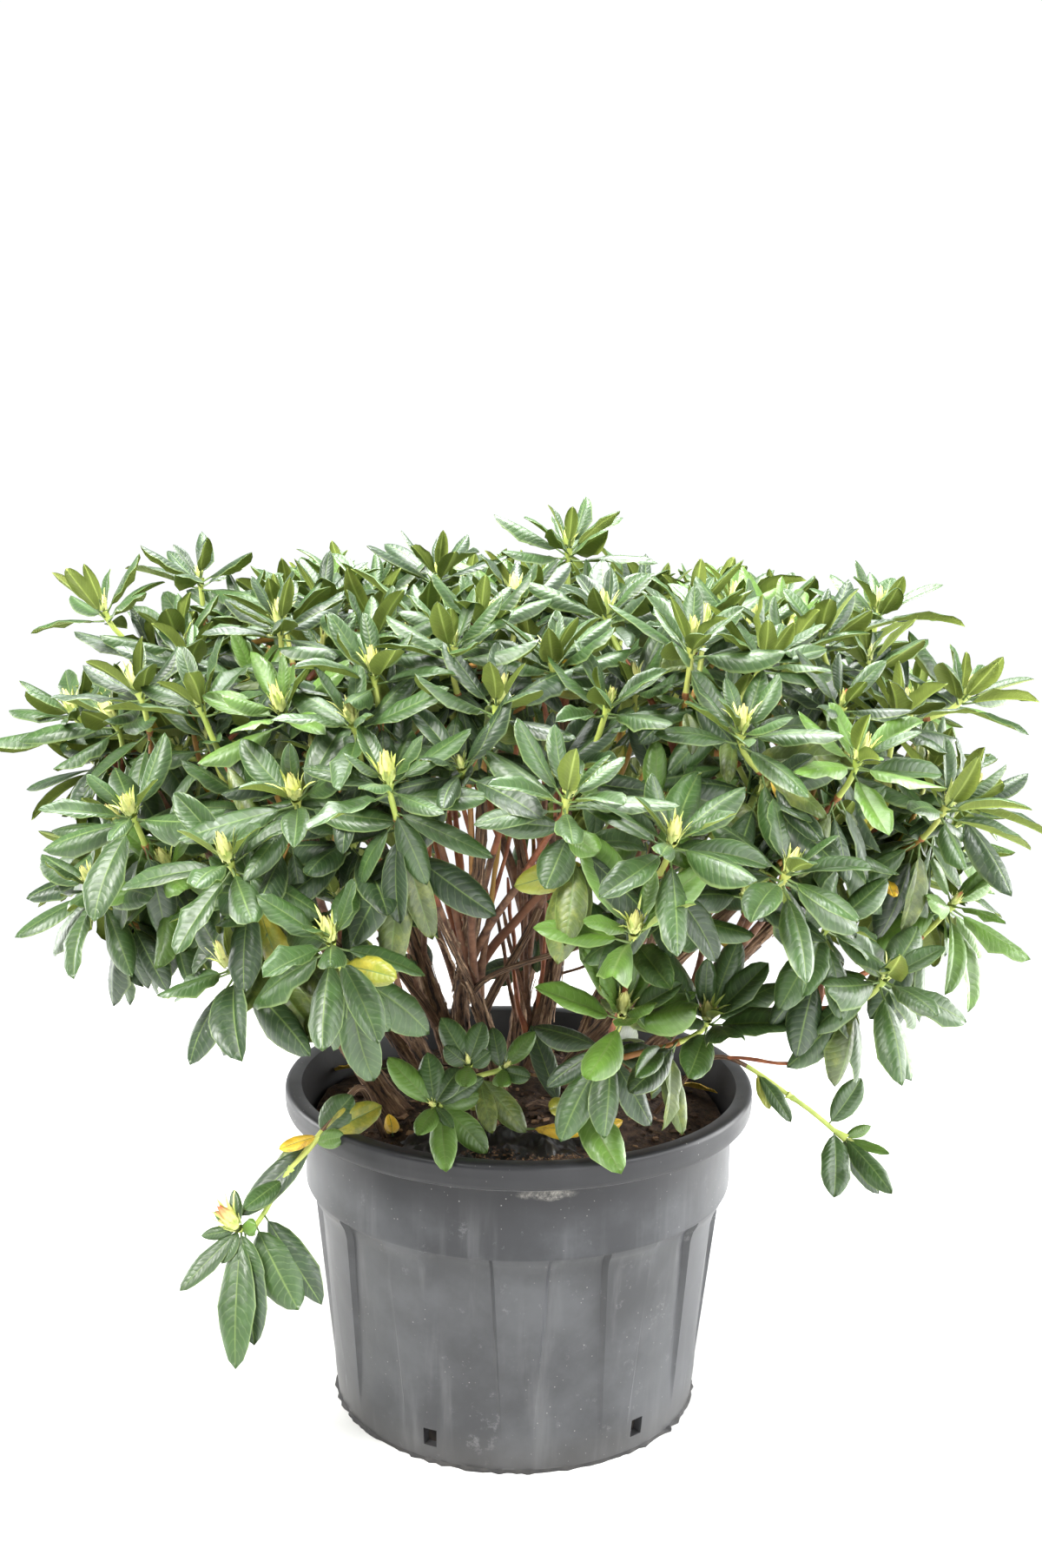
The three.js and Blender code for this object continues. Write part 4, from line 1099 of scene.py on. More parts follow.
def bark_relief(points, ways, radius):
    """How far old bark stands out or in at points about a limb: long fissures and lifting strips."""
    values = []
    for point, way in zip(points, ways):
        along = np.dot(point, way)
        place = Vector((point - way * along) / BARK["width"] + way * (along / BARK["length"]))
        values.append(noise.noise(place) + 0.6 * noise.noise(place * 2.3))
    return np.array(values) * min(BARK["most_depth"], BARK["depth"] * radius)


def add_limb(bag, limb, tint, green_from=1.0, slim=1.0, slim_from=-1.0):
    """A stem or bough with the relief of its bark. A young one may be green at its end, and slimmer."""
    curve = limb.curve
    steps = max(10, int(curve.length / BARK["step"]))
    sides = BARK["sides"][limb.start_radius > BARK["thick"]]
    shares = np.linspace(0, 1, steps)
    slimmer = smooth(slim_from - BARK["blend"], slim_from + BARK["blend"], shares)
    radii = lerp(limb.start_radius, limb.end_radius, shares) * lerp(1, slim, slimmer)
    radii = radii * (1 + (limb.flare - 1) * np.exp(-shares * curve.length / BARK["flare_length"]))
    ways = curve.way(shares)
    vertices, uv = tube(curve.at(shares), ways, radii, sides)
    spokes = vertices - curve.at(shares)[:, None]
    spokes = spokes / np.linalg.norm(spokes, axis=-1, keepdims=True)
    relief = bark_relief(vertices.reshape(-1, 3), np.repeat(ways, sides, axis=0), limb.start_radius * slim)
    roughness = 1 - 0.8 * smooth(green_from - BARK["green_blend"], green_from, shares)
    vertices = vertices + spokes * (relief.reshape(steps, sides) * roughness[:, None])[..., None]
    bag.add_tube(vertices, uv, np.where(shares[1:] > green_from, 2, 0), tint)


def add_bark_strips(bag, limb, draw):
    """Thin strips of bark that have come loose along an old stem, each with an outer and an inner side."""
    curve = limb.curve
    for _ in range(int(curve.length / STRIP["every"])):
        start, reach = draw(0.04, 0.8), draw(*STRIP["length"]) / curve.length
        turn, width = draw(0, 6.28), draw(*STRIP["width"])
        shares = np.linspace(start, min(start + reach, 0.97), 5)[:, None]
        ways = curve.way(shares[:, 0])
        out = turned(*ring_frames(ways), turn)
        end = np.abs(np.linspace(-1, 1, 5))[:, None]
        curl = end ** 2 * np.array([[draw(*STRIP["curl"])] for _ in range(5)])
        side = np.cross(ways, out) * width * (1 - 0.25 * end ** 2) / 2
        radius = lerp(limb.start_radius, limb.end_radius, shares)
        centre = curve.at(shares[:, 0]) + out * (radius + 1.0 + curl)
        rows = np.stack([centre - side, centre + out * 0.7, centre + side], axis=1)
        bag.add(rows, grid_faces(5, 3), 1, None, draw())
        bag.add(rows - out[:, None] * STRIP["thickness"], grid_faces(5, 3)[:, ::-1], 1, None, draw())


# ---- Tub ----

TUB_LOOKS = {
    "rib_half_head": 7.4, "rib_half_foot": 4.4, "rib_head": 340,        # degrees, and where it is widest
    "slope": 1.1,                                   # degrees that the side of a rib takes up
    "shallow": 0.3, "deep": 1.1, "deep_head": 330,  # depth of a recess at its foot and up there, as shares
    "recess_head": 352.6, "recess_fade": (34, 104),
    "holes": [244.6, 309.5, 8, 67, 126, 185],       # azimuths in degrees
    "hole_half": 2.05, "hole_foot": 27, "hole_head": 54, "hole_depth": 14,
    "flash": 7, "flash_pitch": 20,                  # how far the ragged edge under the foot stands out
    "sharp": 42,                                    # edges that turn by more degrees than this are sharp
}
FOOT_ROWS, INSIDE_ROWS = 3, 5
WALL, INSIDE, HOLE, FLASH, BAND = range(5)          # slots of the tub's materials


def outer_radius(height):
    """Radius of the tub's outside over its ribs."""
    heights = [0, TUB["wall_top"], 334, 346, TUB["band_foot"] + 4]
    return np.interp(height, heights, [TUB["base_radius"], TUB["wall_top_radius"], 321, 328,
                                       TUB["band_radius"] - 1])


def rib_half(height):
    """Half the width of a rib in degrees, which narrows towards the foot."""
    share = np.clip(height / TUB_LOOKS["rib_head"], 0, 1)
    return lerp(TUB_LOOKS["rib_half_foot"], TUB_LOOKS["rib_half_head"], share)


def tub_columns():
    """The columns of the tub's mesh: azimuth of the rib each belongs to, its place beside the rib's
    middle in degrees at the head, and whether it crosses a drain hole."""
    edge, slope, pitch = TUB_LOOKS["rib_half_head"], TUB_LOOKS["slope"] / 2, 360 / TUB["ribs"]
    half_pitch = pitch / 2
    half_at_hole = rib_half((TUB_LOOKS["hole_foot"] + TUB_LOOKS["hole_head"]) / 2)
    one_side = [2.4, 4.8, edge - slope - 0.3, edge - slope, edge, edge + slope, edge + slope + 0.3,
                9.6, 11.4, 13.2]
    columns = []
    for centre in (TUB["first_rib"] + pitch * np.arange(TUB["ribs"])) % 360:
        places = [0.0, half_pitch, *one_side, *(-place for place in one_side)]
        crossing = []
        for hole in TUB_LOOKS["holes"]:
            off = (hole - centre + 180) % 360 - 180
            if abs(off) < half_pitch:
                steps = off + TUB_LOOKS["hole_half"] * np.array([-1.04, -1, 0, 1, 1.04])
                steps = np.interp(steps, [-half_pitch, -half_at_hole, half_at_hole, half_pitch],
                                  [-half_pitch, -edge, edge, half_pitch])
                places = [place for place in places if not steps[0] - 0.2 < place < steps[-1] + 0.2]
                places += list(steps)
                crossing = list(steps[1:-1])
        columns += [(centre, place, place in crossing) for place in sorted(places)]
    return (np.array(column) for column in zip(*columns))


def tub_profile():
    """Radius and height of each row of the tub's mesh, from the foot up the outside, over the lip and down
    inside, and which rows are on the outside wall."""
    foot, head, band, mouth = TUB["lip_foot"], TUB["height"], TUB["band_radius"], TUB["mouth_radius"]
    hole_foot, hole_head = TUB_LOOKS["hole_foot"], TUB_LOOKS["hole_head"]
    base = [(TUB["base_radius"] - 9, 0.0), (TUB["base_radius"] + 1, 0.2), (TUB["base_radius"] + 1, 2.2)]
    heights = [5, 10, 16, 22, hole_foot - 0.4, hole_foot, 36, 45, hole_head, hole_head + 0.4, 66, 78, 92,
               110, 140, 170, 200, 230, 260, 285, 305, 318, 328, 336, 342, 346, 349, 351, 352.2, 353, 353.8,
               355.5, 358, 362, 368, 385, 410, 435, 455]
    wall = [(outer_radius(height), height) for height in heights]
    step = [(band - 0.5, foot - 2), (band + 3, foot + 0.5)]
    step += [(TUB["lip_radius"] + out, foot + up) for out, up in ((-9, 2.5), (-3, 6), (-0.6, 12), (0.2, 24))]
    turns = np.radians(np.linspace(-88, 90, 9)[3:])
    lip = [(TUB["lip_radius"] - 7 + 7 * math.cos(turn), head - 8 + 8 * math.sin(turn)) for turn in turns]
    inside = [(mouth + 8, head - 0.4), (mouth + 2, head - 2), (mouth, head - 7), (band - 7, foot),
              (band - 9, 400), (outer_radius(318) - 14, 320)]
    profile = np.array([*base, *wall, *step, *lip, *inside])
    is_outside = np.arange(len(profile)) < len(base) + len(wall)
    return profile[:, :1], profile[:, 1:], is_outside[:, None]


def make_tub(materials):
    """The whole tub as one skin: outside, lip and inside."""
    radius, height, is_outside = tub_profile()
    row_number = np.arange(len(radius))[:, None]

    # each column keeps its place beside the narrowing rib
    centre, place, is_crossing = tub_columns()
    edge, half_pitch = TUB_LOOKS["rib_half_head"], 180 / TUB["ribs"]
    beyond = np.maximum(np.abs(place) - edge, 0) / (half_pitch - edge)
    half = rib_half(height)
    off = np.minimum(np.abs(place), edge) / edge * half + beyond * (half_pitch - half)
    angle = np.radians(centre + np.sign(place) * off)

    # a recess ends short under the band, and fades out above the foot
    recess = np.clip(0.5 + (np.abs(place) - edge) / TUB_LOOKS["slope"], 0, 1)
    rise = np.clip(height / TUB_LOOKS["deep_head"], 0, 1)
    depth = TUB["flute_depth"] * lerp(TUB_LOOKS["shallow"], TUB_LOOKS["deep"], rise) * recess
    depth = depth * smooth(*TUB_LOOKS["recess_fade"], height)
    radius = radius - np.where(is_outside & (height < TUB_LOOKS["recess_head"]), depth, 0)
    ragged = np.array([noise.noise(Vector((math.cos(turn), math.sin(turn), 0)) * TUB_LOOKS["flash_pitch"])
                       for turn in angle[0]])
    flash = TUB_LOOKS["flash"] * np.clip(0.3 + ragged, 0.05, 1)
    radius = radius + np.where(row_number < FOOT_ROWS, flash, 0)
    in_hole_rows = (height >= TUB_LOOKS["hole_foot"]) & (height <= TUB_LOOKS["hole_head"]) & is_outside
    is_hole = in_hole_rows & is_crossing[None]
    radius = radius - np.where(is_hole, TUB_LOOKS["hole_depth"], 0)

    vertices = table_of(radius * np.cos(angle), radius * np.sin(angle), height)
    rows, columns = radius.shape
    faces = grid_faces(rows, columns, is_ring=True)
    row = np.repeat(np.arange(rows - 1), columns)
    is_band = height[row, 0] >= TUB_LOOKS["recess_head"]
    is_hole_face = is_hole.ravel()[faces].all(axis=1)
    slot = np.select([is_hole_face, row < FOOT_ROWS, row >= rows - INSIDE_ROWS, is_band],
                     [HOLE, FLASH, INSIDE, BAND], WALL)
    bag = Bag()
    bag.add(vertices, faces, slot, table_of(angle / (2 * np.pi), height / TUB["height"]))
    bag.add_fan((0, 0, 0), vertices[0], faces_up=False)
    made = bag.build("tub_shell", materials)
    bpy.context.view_layer.objects.active = made
    made.select_set(True)
    bpy.ops.object.shade_smooth_by_angle(angle=math.radians(TUB_LOOKS["sharp"]))
    made.select_set(False)
    return made


# ---- Soil, chips, liner and fallen leaves ----

LUMPS = ((6.0, 0.02, 3), (4.0, 0.07, 5), (2.2, 0.21, 8))        # height, pitch, and place in the noise
CHIPS = {
    "on_soil": 950, "on_film": 550, "reach": 282, "film_reach": (262, 316), "film_azimuth": (255, 292),
    "lift": 2.5, "film_lift": (0, 3), "scale": (0.5, 1.3), "film_scale": (0.2, 0.5),
    "half_sides": ((2, 9), (1.5, 5), (0.7, 2.0)), "ragged": (0.6, 1.2), "tip": (-0.6, 0.6), "dark": 0.75,
}
FILM = {
    "first": 220, "last": 300, "outer": 320, "inner": 160, "lift": 17, "rise": 20, "risen_to": 0.3,
    "drop": 42, "falls_from": 0.85, "thickness": 0.6,
    "swell": (15, 0.018, 0.03, 0), "folds": ((16, 0.035, 0.02, 4), (6, 0.09, 0.09, 9)),
}
FALLEN = {
    "heap": (273, 215), "rest": ((300, 190), (222, 250), (150, 250), (80, 240), (20, 255)),
    "heap_lift": 34, "lift": 8, "rise": (-0.05, 0.2), "length": (60, 95),
}


def make_soil(material):
    """Bark-rich soil, rough all over, in a low mound about the stems."""
    rings, spokes = 46, 132
    reach = np.linspace(2, free_radius(SOIL["edge"]) - 1, rings)[:, None]
    angle = np.linspace(0, 2 * np.pi, spokes, endpoint=False)[None]
    x, y = reach * np.cos(angle), reach * np.sin(angle)
    lumps = [sum(size * noise.noise(Vector((a * pitch, b * pitch, level))) for size, pitch, level in LUMPS)
             for a, b in zip(x.ravel(), y.ravel())]
    vertices = table_of(x, y, soil_height(reach) + np.array(lumps).reshape(x.shape))
    bag = Bag()
    bag.add_tube(vertices, None)
    bag.add_fan((0, 0, SOIL["crest"] + 2), vertices[0])
    return bag.build("soil_bed", [material])


def film_noise(x, y, size, x_pitch, y_pitch, level):
    return size * noise.noise(Vector((x * x_pitch, y * y_pitch, level)))


def film_height(x, y, share, ends):
    """Height of the film at a place: folds across it, a rise at the wall, and a fall to the soil at its
    inner edge and both ends."""
    crumple = film_noise(x, y, *FILM["swell"]) + sum(abs(film_noise(x, y, *fold)) for fold in FILM["folds"])
    rise = FILM["rise"] * (1 - smooth(0, FILM["risen_to"], share))
    fall = FILM["drop"] * (1 - ends * (1 - smooth(FILM["falls_from"], 1, share)))
    return soil_height(math.hypot(x, y)) + FILM["lift"] + rise + crumple - fall


def make_chips(materials):
    """Loose crumbs and chips of bark lying on the soil, and a bank of crumbs on the film at the front."""
    draw = seeded(SEEDS["chips"])
    bag = Bag()
    corners = np.array([[x, y, z] for z in (-1, 1) for y in (-1, 1) for x in (-1, 1)], float)
    sides = [[0, 2, 3, 1], [4, 5, 7, 6], [0, 1, 5, 4], [2, 6, 7, 3], [0, 4, 6, 2], [1, 3, 7, 5]]
    for i in range(CHIPS["on_soil"] + CHIPS["on_film"]):
        if i < CHIPS["on_soil"]:
            reach, turn = CHIPS["reach"] * math.sqrt(draw()), draw(0, 6.28)
            lie, scale = soil_height(reach) + CHIPS["lift"], draw(*CHIPS["scale"])
        else:
            reach, turn = draw(*CHIPS["film_reach"]), math.radians(draw(*CHIPS["film_azimuth"]))
            share = (FILM["outer"] - reach) / (FILM["outer"] - FILM["inner"])
            lie = film_height(reach * math.cos(turn), reach * math.sin(turn), share, 1.0)
            lie += draw(*CHIPS["film_lift"])
            scale = draw(*CHIPS["film_scale"])
        size = np.array([draw(*limits) for limits in CHIPS["half_sides"]]) * scale
        block = corners * size * np.array([[draw(*CHIPS["ragged"]) for _ in range(3)] for _ in range(8)])
        yaw, tip = draw(0, 6.28), draw(*CHIPS["tip"])
        spin = np.array([[math.cos(yaw), math.sin(yaw), 0], [-math.sin(yaw), math.cos(yaw), 0], [0, 0, 1]])
        tilt = np.array([[1, 0, 0], [0, math.cos(tip), math.sin(tip)], [0, -math.sin(tip), math.cos(tip)]])
        place = np.array([reach * math.cos(turn), reach * math.sin(turn), lie])
        bag.add(block @ tilt @ spin + place, sides, 0 if draw() < CHIPS["dark"] else 1, None, draw())
    return bag.build("soil_chips", materials, is_smooth=False)


def make_liner(material):
    """A crumpled black film that lies against the front of the tub above the soil."""
    rows, columns = 26, 130
    azimuth = np.linspace(FILM["first"], FILM["last"], columns)
    share = np.linspace(0, 1, rows)[:, None]
    ends = np.maximum(np.sin(np.pi * (azimuth - FILM["first"]) / (FILM["last"] - FILM["first"])), 0) ** 0.4
    reach = lerp(FILM["outer"], FILM["inner"], share)
    angle = np.radians(azimuth)
    places = table_of(reach * np.cos(angle), reach * np.sin(angle), share, ends).reshape(-1, 4)
    heights = np.array([film_height(*place) for place in places])
    vertices = np.column_stack([places[:, :2], heights])
    bag = Bag()
    bag.add(vertices, grid_faces(rows, columns)[:, ::-1])
    bag.add(vertices - UP * FILM["thickness"], grid_faces(rows, columns))
    return bag.build("liner_film", [material])


def make_fallen(materials):
    """Old leaves that lie on the soil, and one on the film."""
    draw = seeded(SEEDS["fallen"])
    table = LeafTable()
    for azimuth, reach in (FALLEN["heap"], *FALLEN["rest"]):
        lift = FALLEN["heap_lift" if (azimuth, reach) == FALLEN["heap"] else "lift"]
        place = polar(azimuth, reach, soil_height(reach) + lift)
        way = unit(polar(draw(0, 360), 1, draw(*FALLEN["rise"])))
        add_leaf(table, place, way, UP, draw(*FALLEN["length"]), draw, "yellow")
    bag = Bag()
    blades(table, bag)
    return bag.build("fallen_leaves", materials)


# ---- Materials ----


def shade(colour, factor):
    return tuple(min(1.0, channel * factor) for channel in colour)


class Finish:
    """A material and the shader nodes that make it. Its noise is laid out by place unless told otherwise."""

    def __init__(self, name, **surface):
        self.material = bpy.data.materials.new(name)
        self.material.use_nodes = True
        self.tree = self.material.node_tree
        self.shader = self.tree.nodes["Principled BSDF"]
        self.place = self.add("TexCoord").outputs["Object"]
        for socket, value in surface.items():
            self.set(self.shader.inputs[socket.replace("_", " ")], value)

    def set(self, socket, value):
        if isinstance(value, bpy.types.NodeSocket):
            self.tree.links.new(value, socket)
        elif hasattr(value, "__len__") and len(value) == 3 and socket.type == "RGBA":
            socket.default_value = (*value, 1)
        else:
            socket.default_value = value

    def add(self, kind, inputs=None, **settings):
        node = self.tree.nodes.new("ShaderNode" + kind)
        for key, value in settings.items():
            setattr(node, key, value)
        for key, value in (inputs or {}).items():
            self.set(node.inputs[key], value)
        return node

    def math(self, operation, a, b=0.0, c=0.0):
        return self.add("Math", {0: a, 1: b, 2: c}, operation=operation).outputs[0]

    def times(self, a, b):
        return self.math("MULTIPLY", a, b)

    def span(self, value, low, high, top=1.0, bottom=0.0):
        """A smooth step from bottom to top as a value goes from low to high."""
        inputs = {0: value, 1: low, 2: high, 3: bottom, 4: top}
        return self.add("MapRange", inputs, interpolation_type="SMOOTHSTEP").outputs[0]

    def noise(self, scale, detail=4.0, roughness=0.6, vector=None):
        inputs = {"Scale": scale, "Detail": detail, "Roughness": roughness, "Vector": vector or self.place}
        return self.add("TexNoise", inputs).outputs[0]

    def uv(self):
        return self.add("SeparateXYZ", {0: self.add("UVMap", uv_map="UVMap").outputs[0]}).outputs[:2]

    def tint(self, share=1.0):
        return self.times(self.add("Attribute", attribute_name="tint").outputs["Fac"], share)

    def over(self, tone, *layers):
        """A tone with others laid over it in turn, each with the share that it has at a place."""
        for share, other in layers:
            tone = self.add("Mix", {0: share, 6: tone, 7: other}, data_type="RGBA").outputs[2]
        return tone

    def bump(self, height, strength, distance, normal=None):
        inputs = {"Height": height, "Strength": strength, "Distance": distance}
        if normal is not None:
            inputs["Normal"] = normal
        return self.add("Bump", inputs).outputs[0]

    def finish(self, colour, roughness, normal):
        for socket, value in (("Base Color", colour), ("Roughness", roughness), ("Normal", normal)):
            self.set(self.shader.inputs[socket], value)
        return self.material


def leaf_veins(finish):
    """How far a place on a blade is from its midrib, and how near to a side vein, from 0 to 1."""
    across, along = finish.uv()
    out = finish.math("ABSOLUTE", finish.math("MULTIPLY_ADD", across, 2.0, -1.0))
    wobble = finish.times(finish.noise(45, 2.0), 1.1)
    arch = finish.times(finish.math("POWER", out, 1.5), -1.9)
    row = finish.math("MULTIPLY_ADD", along, 11.0, finish.math("ADD", arch, wobble))
    return out, finish.times(finish.math("PINGPONG", row, 0.5), 2.0)


def leaf_top(name, colour, blotch=None, blotch_span=(0.54, 0.66)):
    """The upper side: mottled, quilted between pale veins, with a pale margin and old leaves' blotches."""
    finish = Finish(name, Specular_IOR_Level=0.7)
    out, vein = leaf_veins(finish)
    pale = tuple(lerp(a, b, 0.55) for a, b in zip(colour, (0.34, 0.46, 0.16)))
    tone = finish.over(
        shade(colour, 0.74),
        (finish.span(finish.noise(26, 3.0), 0.35, 0.68), shade(colour, 1.28)),
        (finish.tint(0.45), shade(colour, 1.55)),
        (finish.span(vein, 0.26, 0.02, 0.16), pale),
        (finish.span(out, 0.90, 0.98, 0.5), pale),
        (finish.span(out, 0.10, 0.03, 0.12), pale),
    )
    if blotch is not None:
        tone = finish.over(tone, (finish.span(finish.noise(34, 4.0, 0.7), *blotch_span, 0.8), blotch))
    height = finish.math("MULTIPLY_ADD", finish.noise(130, 3.0), 0.7, finish.math("POWER", vein, 0.5))
    swell = finish.bump(finish.noise(50, 2.0), 0.52, 0.0028)
    rough = finish.span(finish.noise(60, 3.0), 0.3, 0.7, top=0.53, bottom=0.40)
    return finish.finish(tone, rough, finish.bump(height, 0.4, 0.0008, swell))


def leaf_under(name, colour):
    """The underside: paler, matt and netted, with rusty patches."""
    finish = Finish(name)
    out, vein = leaf_veins(finish)
    tone = finish.over(
        shade(colour, 0.72),
        (finish.noise(30), shade(colour, 1.25)),
        (finish.span(vein, 0.2, 0.02, 0.35), shade(colour, 1.5)),
        (finish.span(out, 0.14, 0.06, 0.8), shade(colour, 1.8)),
        (finish.span(finish.noise(12, 3.0), 0.55, 0.75, 0.2), (0.24, 0.17, 0.04)),
    )
    height = finish.math("ADD", finish.span(vein, 0.3, 0.0, 0.8), finish.noise(240, 3.0, 0.7))
    return finish.finish(tone, 0.62, finish.bump(height, 0.4, 0.0005))


def plain_finish(name, low, high, scale, rough, bump_scale=300, bump=0.3, distance=0.0004, other=None):
    """Two tones of one colour mixed by noise, with a fine bump, and another tone that the tint brings in."""
    finish = Finish(name)
    tone = finish.over(low, (finish.span(finish.noise(scale), 0.3, 0.7), high))
    if other is not None:
        tone = finish.over(tone, (finish.span(finish.tint(), 0.45, 0.9, 0.75), other))
    return finish.finish(tone, rough, finish.bump(finish.noise(bump_scale, 3.0, 0.65), bump, distance))


def leaf_materials():
    """In the order of the leaves' slots: upper sides by kind, undersides, and midribs of both sides."""
    blotches = {
        "dull": ((0.17, 0.20, 0.03), (0.46, 0.7)),
        "turning": ((0.40, 0.34, 0.03), (0.4, 0.62)),
        "yellow": ((0.22, 0.075, 0.02),),
    }
    tops = [leaf_top("leaf_" + kind, LEAF_COLOURS[kind], *blotches.get(kind, ())) for kind in LEAF_KINDS]
    unders = [leaf_under("leaf_" + kind, colour) for kind, colour in UNDER_COLOURS.items()]
    ribs = [plain_finish("leaf_" + kind, shade(colour, 0.85), shade(colour, 1.15), 40, 0.5)
            for kind, colour in RIB_COLOURS.items()]
    return [*tops, *unders, *ribs]


def bud_scale(name, tip, tip_from):
    """The cream scales of a bud, greener at the foot and with a colour of their own at the tip."""
    finish = Finish(name)
    along = finish.uv()[1]
    tone = finish.over(
        (0.50, 0.58, 0.15),
        (finish.span(along, 0.05, 0.45), (0.80, 0.76, 0.30)),
        (finish.tint(0.5), (0.56, 0.63, 0.20)),
        (finish.span(along, tip_from, 1.0), tip),
        (finish.span(finish.noise(160), 0.6, 0.74, 0.25), (0.34, 0.20, 0.07)),
    )
    return finish.finish(tone, 0.5, finish.bump(finish.noise(260, 3.0), 0.4, 0.0005))


def bud_materials():
    return [
        bud_scale("bud_scale", (0.70, 0.56, 0.22), 0.85),
        plain_finish("bud_green", (0.40, 0.50, 0.11), (0.70, 0.72, 0.28), 60, 0.5),
        bud_scale("bud_red_tip", (0.52, 0.13, 0.05), 0.45),
    ]


def twig_materials():
    return [
        plain_finish("twig_green", (0.27, 0.36, 0.06), (0.46, 0.52, 0.12), 25, 0.5,
                     other=(0.40, 0.42, 0.10)),
        plain_finish("twig_ring", (0.16, 0.06, 0.02), (0.38, 0.16, 0.05), 90, 0.8, 500, 0.8, 0.0008),
        plain_finish("twig_russet", (0.17, 0.045, 0.020), (0.36, 0.125, 0.050), 40, 0.6, 260, 0.5, 0.0005,
                     other=(0.52, 0.31, 0.06)),
        plain_finish("twig_brown", (0.060, 0.027, 0.017), (0.25, 0.130, 0.075), 50, 0.8, 220, 0.7, 0.0009,
                     other=(0.18, 0.070, 0.035)),
    ]


def bark_materials():
    """Old bark, whose strips run along each limb, and the loose strips."""
    finish = Finish("bark")
    turn, along = finish.uv()
    angle = finish.times(turn, 2 * math.pi)
    spot = finish.add("CombineXYZ", {
        0: finish.math("COSINE", angle), 1: finish.math("SINE", angle),
        2: finish.math("MULTIPLY_ADD", along, 0.085, finish.tint(9.0)),
    }).outputs[0]
    strips = finish.noise(2.6, 5.0, 0.66, vector=spot)
    tone = finish.over(
        (0.020, 0.010, 0.007),
        (finish.span(strips, 0.38, 0.52), (0.150, 0.083, 0.045)),
        (finish.span(strips, 0.53, 0.68), (0.38, 0.25, 0.15)),
    )
    height = finish.math("MULTIPLY_ADD", finish.noise(300, 3.0), 0.2, strips)
    bark = finish.finish(tone, 0.88, finish.bump(height, 1.0, 0.005))
    strip = plain_finish("bark_strip", (0.13, 0.070, 0.040), (0.38, 0.25, 0.15), 60, 0.85, 260, 0.6, 0.0008)
    return [bark, strip]


SCUFF = {"x": 0.042, "height": 0.452, "length": 0.034, "width": 0.007}      # on the band's front, in metres


def rubbed_place(finish, x, y, z):
    """How far the tub is rubbed at a place: a patch with ragged edges on the front of the band."""
    beside = finish.math("DIVIDE", finish.math("SUBTRACT", x, SCUFF["x"]), SCUFF["length"])
    above = finish.math("DIVIDE", finish.math("SUBTRACT", z, SCUFF["height"]), SCUFF["width"])
    spread = finish.math("ADD", finish.math("POWER", beside, 2.0), finish.math("POWER", above, 2.0))
    spread = finish.math("MULTIPLY_ADD", finish.noise(34, 3.0), 5.0, finish.math("SUBTRACT", spread, 2.2))
    patch = finish.times(finish.span(spread, 2.2, 0.0), finish.span(y, 0.0, -0.1))
    return finish.times(patch, finish.span(finish.noise(150, 6.0, 0.8), 0.3, 0.8))


def tub_plastic(name, gloss):
    """Weathered black plastic: a cloudy bloom, streaks down the wall, scuffs, dust and one rubbed place,
    with painted shade up to the lip and a painted highlight at the lip's foot.
    """
    finish = Finish(name, Specular_IOR_Level=gloss)
    x, y, z = finish.add("SeparateXYZ", {0: finish.place}).outputs
    bloom = finish.noise(6, 6.0, 0.62)
    drawn_out = finish.add("Mapping", {"Vector": finish.place, "Scale": (1.0, 1.0, 0.09)}).outputs[0]
    scuffs = finish.span(finish.noise(30, 8.0, 0.75), 0.59, 0.70, 0.45)
    dust = finish.add("TexVoronoi", {"Scale": 95.0, "Vector": finish.place}).outputs["Distance"]
    patchy = finish.span(finish.noise(9, 3.0), 0.46, 0.62, 0.55)
    # painted highlight: a pale grey line round the lip's foot
    lip_foot_painted_highlight = finish.times(finish.span(z, 0.461, 0.4645), finish.span(z, 0.4715, 0.468, 0.35))
    tone = finish.over(
        (0.024, 0.025, 0.028),
        (finish.span(bloom, 0.35, 0.7), (0.056, 0.058, 0.063)),
        (finish.span(finish.noise(26, vector=drawn_out), 0.5, 0.75, 0.4), (0.115, 0.116, 0.12)),
        (scuffs, (0.17, 0.17, 0.175)),
        # painted shade: darker from the band up to the lip
        (finish.span(z, 0.385, 0.45, 0.85), (0.014, 0.014, 0.016)),                 # darker up to the lip
        (finish.times(finish.span(dust, 0.11, 0.06), patchy), (0.34, 0.33, 0.31)),
        (lip_foot_painted_highlight, (0.30, 0.30, 0.30)),
        (finish.span(z, 0.08, 0.0, 0.3), (0.060, 0.054, 0.047)),                    # dirt at the foot
        (rubbed_place(finish, x, y, z), (0.36, 0.34, 0.30)),
    )
    grain = finish.bump(finish.noise(900, 2.0), 0.12, 0.0003)
    rough = finish.math("MULTIPLY_ADD", scuffs, 0.25, finish.span(bloom, 0.3, 0.7, top=0.46, bottom=0.34))
    return finish.finish(tone, rough, finish.bump(finish.noise(11, 2.0), 0.25, 0.006, grain))


def tub_materials():
    return [
        tub_plastic("tub_plastic", 0.5),
        # painted shade: the inside of the tub is near black, darker than its outside
        plain_finish("tub_inside", (0.006, 0.006, 0.007), (0.018, 0.018, 0.019), 12, 0.62),
        # painted shade: near-black soil brown on each drain hole's floor, for the dark opening
        plain_finish("tub_hole", (0.006, 0.005, 0.004), (0.02, 0.014, 0.01), 50, 0.9),
        plain_finish("tub_flash", (0.010, 0.010, 0.011), (0.030, 0.028, 0.026), 60, 0.7),
        tub_plastic("tub_band", 0.3),
    ]


# ---- Stage ----

CAMERA = {"place": (-0.0036, -2.662, 1.464), "pitch": 10.48, "roll": 0.85, "focal_px": 2052, "long_px": 1805}
AIM = Vector((0, 0, 0.9))
SENSOR = 36
FLOOR = {"radius": 2600, "drop": 0.2, "sides": 96, "hole": 0.01}
ROOM = {"back": 1.05, "front": 0.6, "ceiling": 0.2}      # brightness of its sides
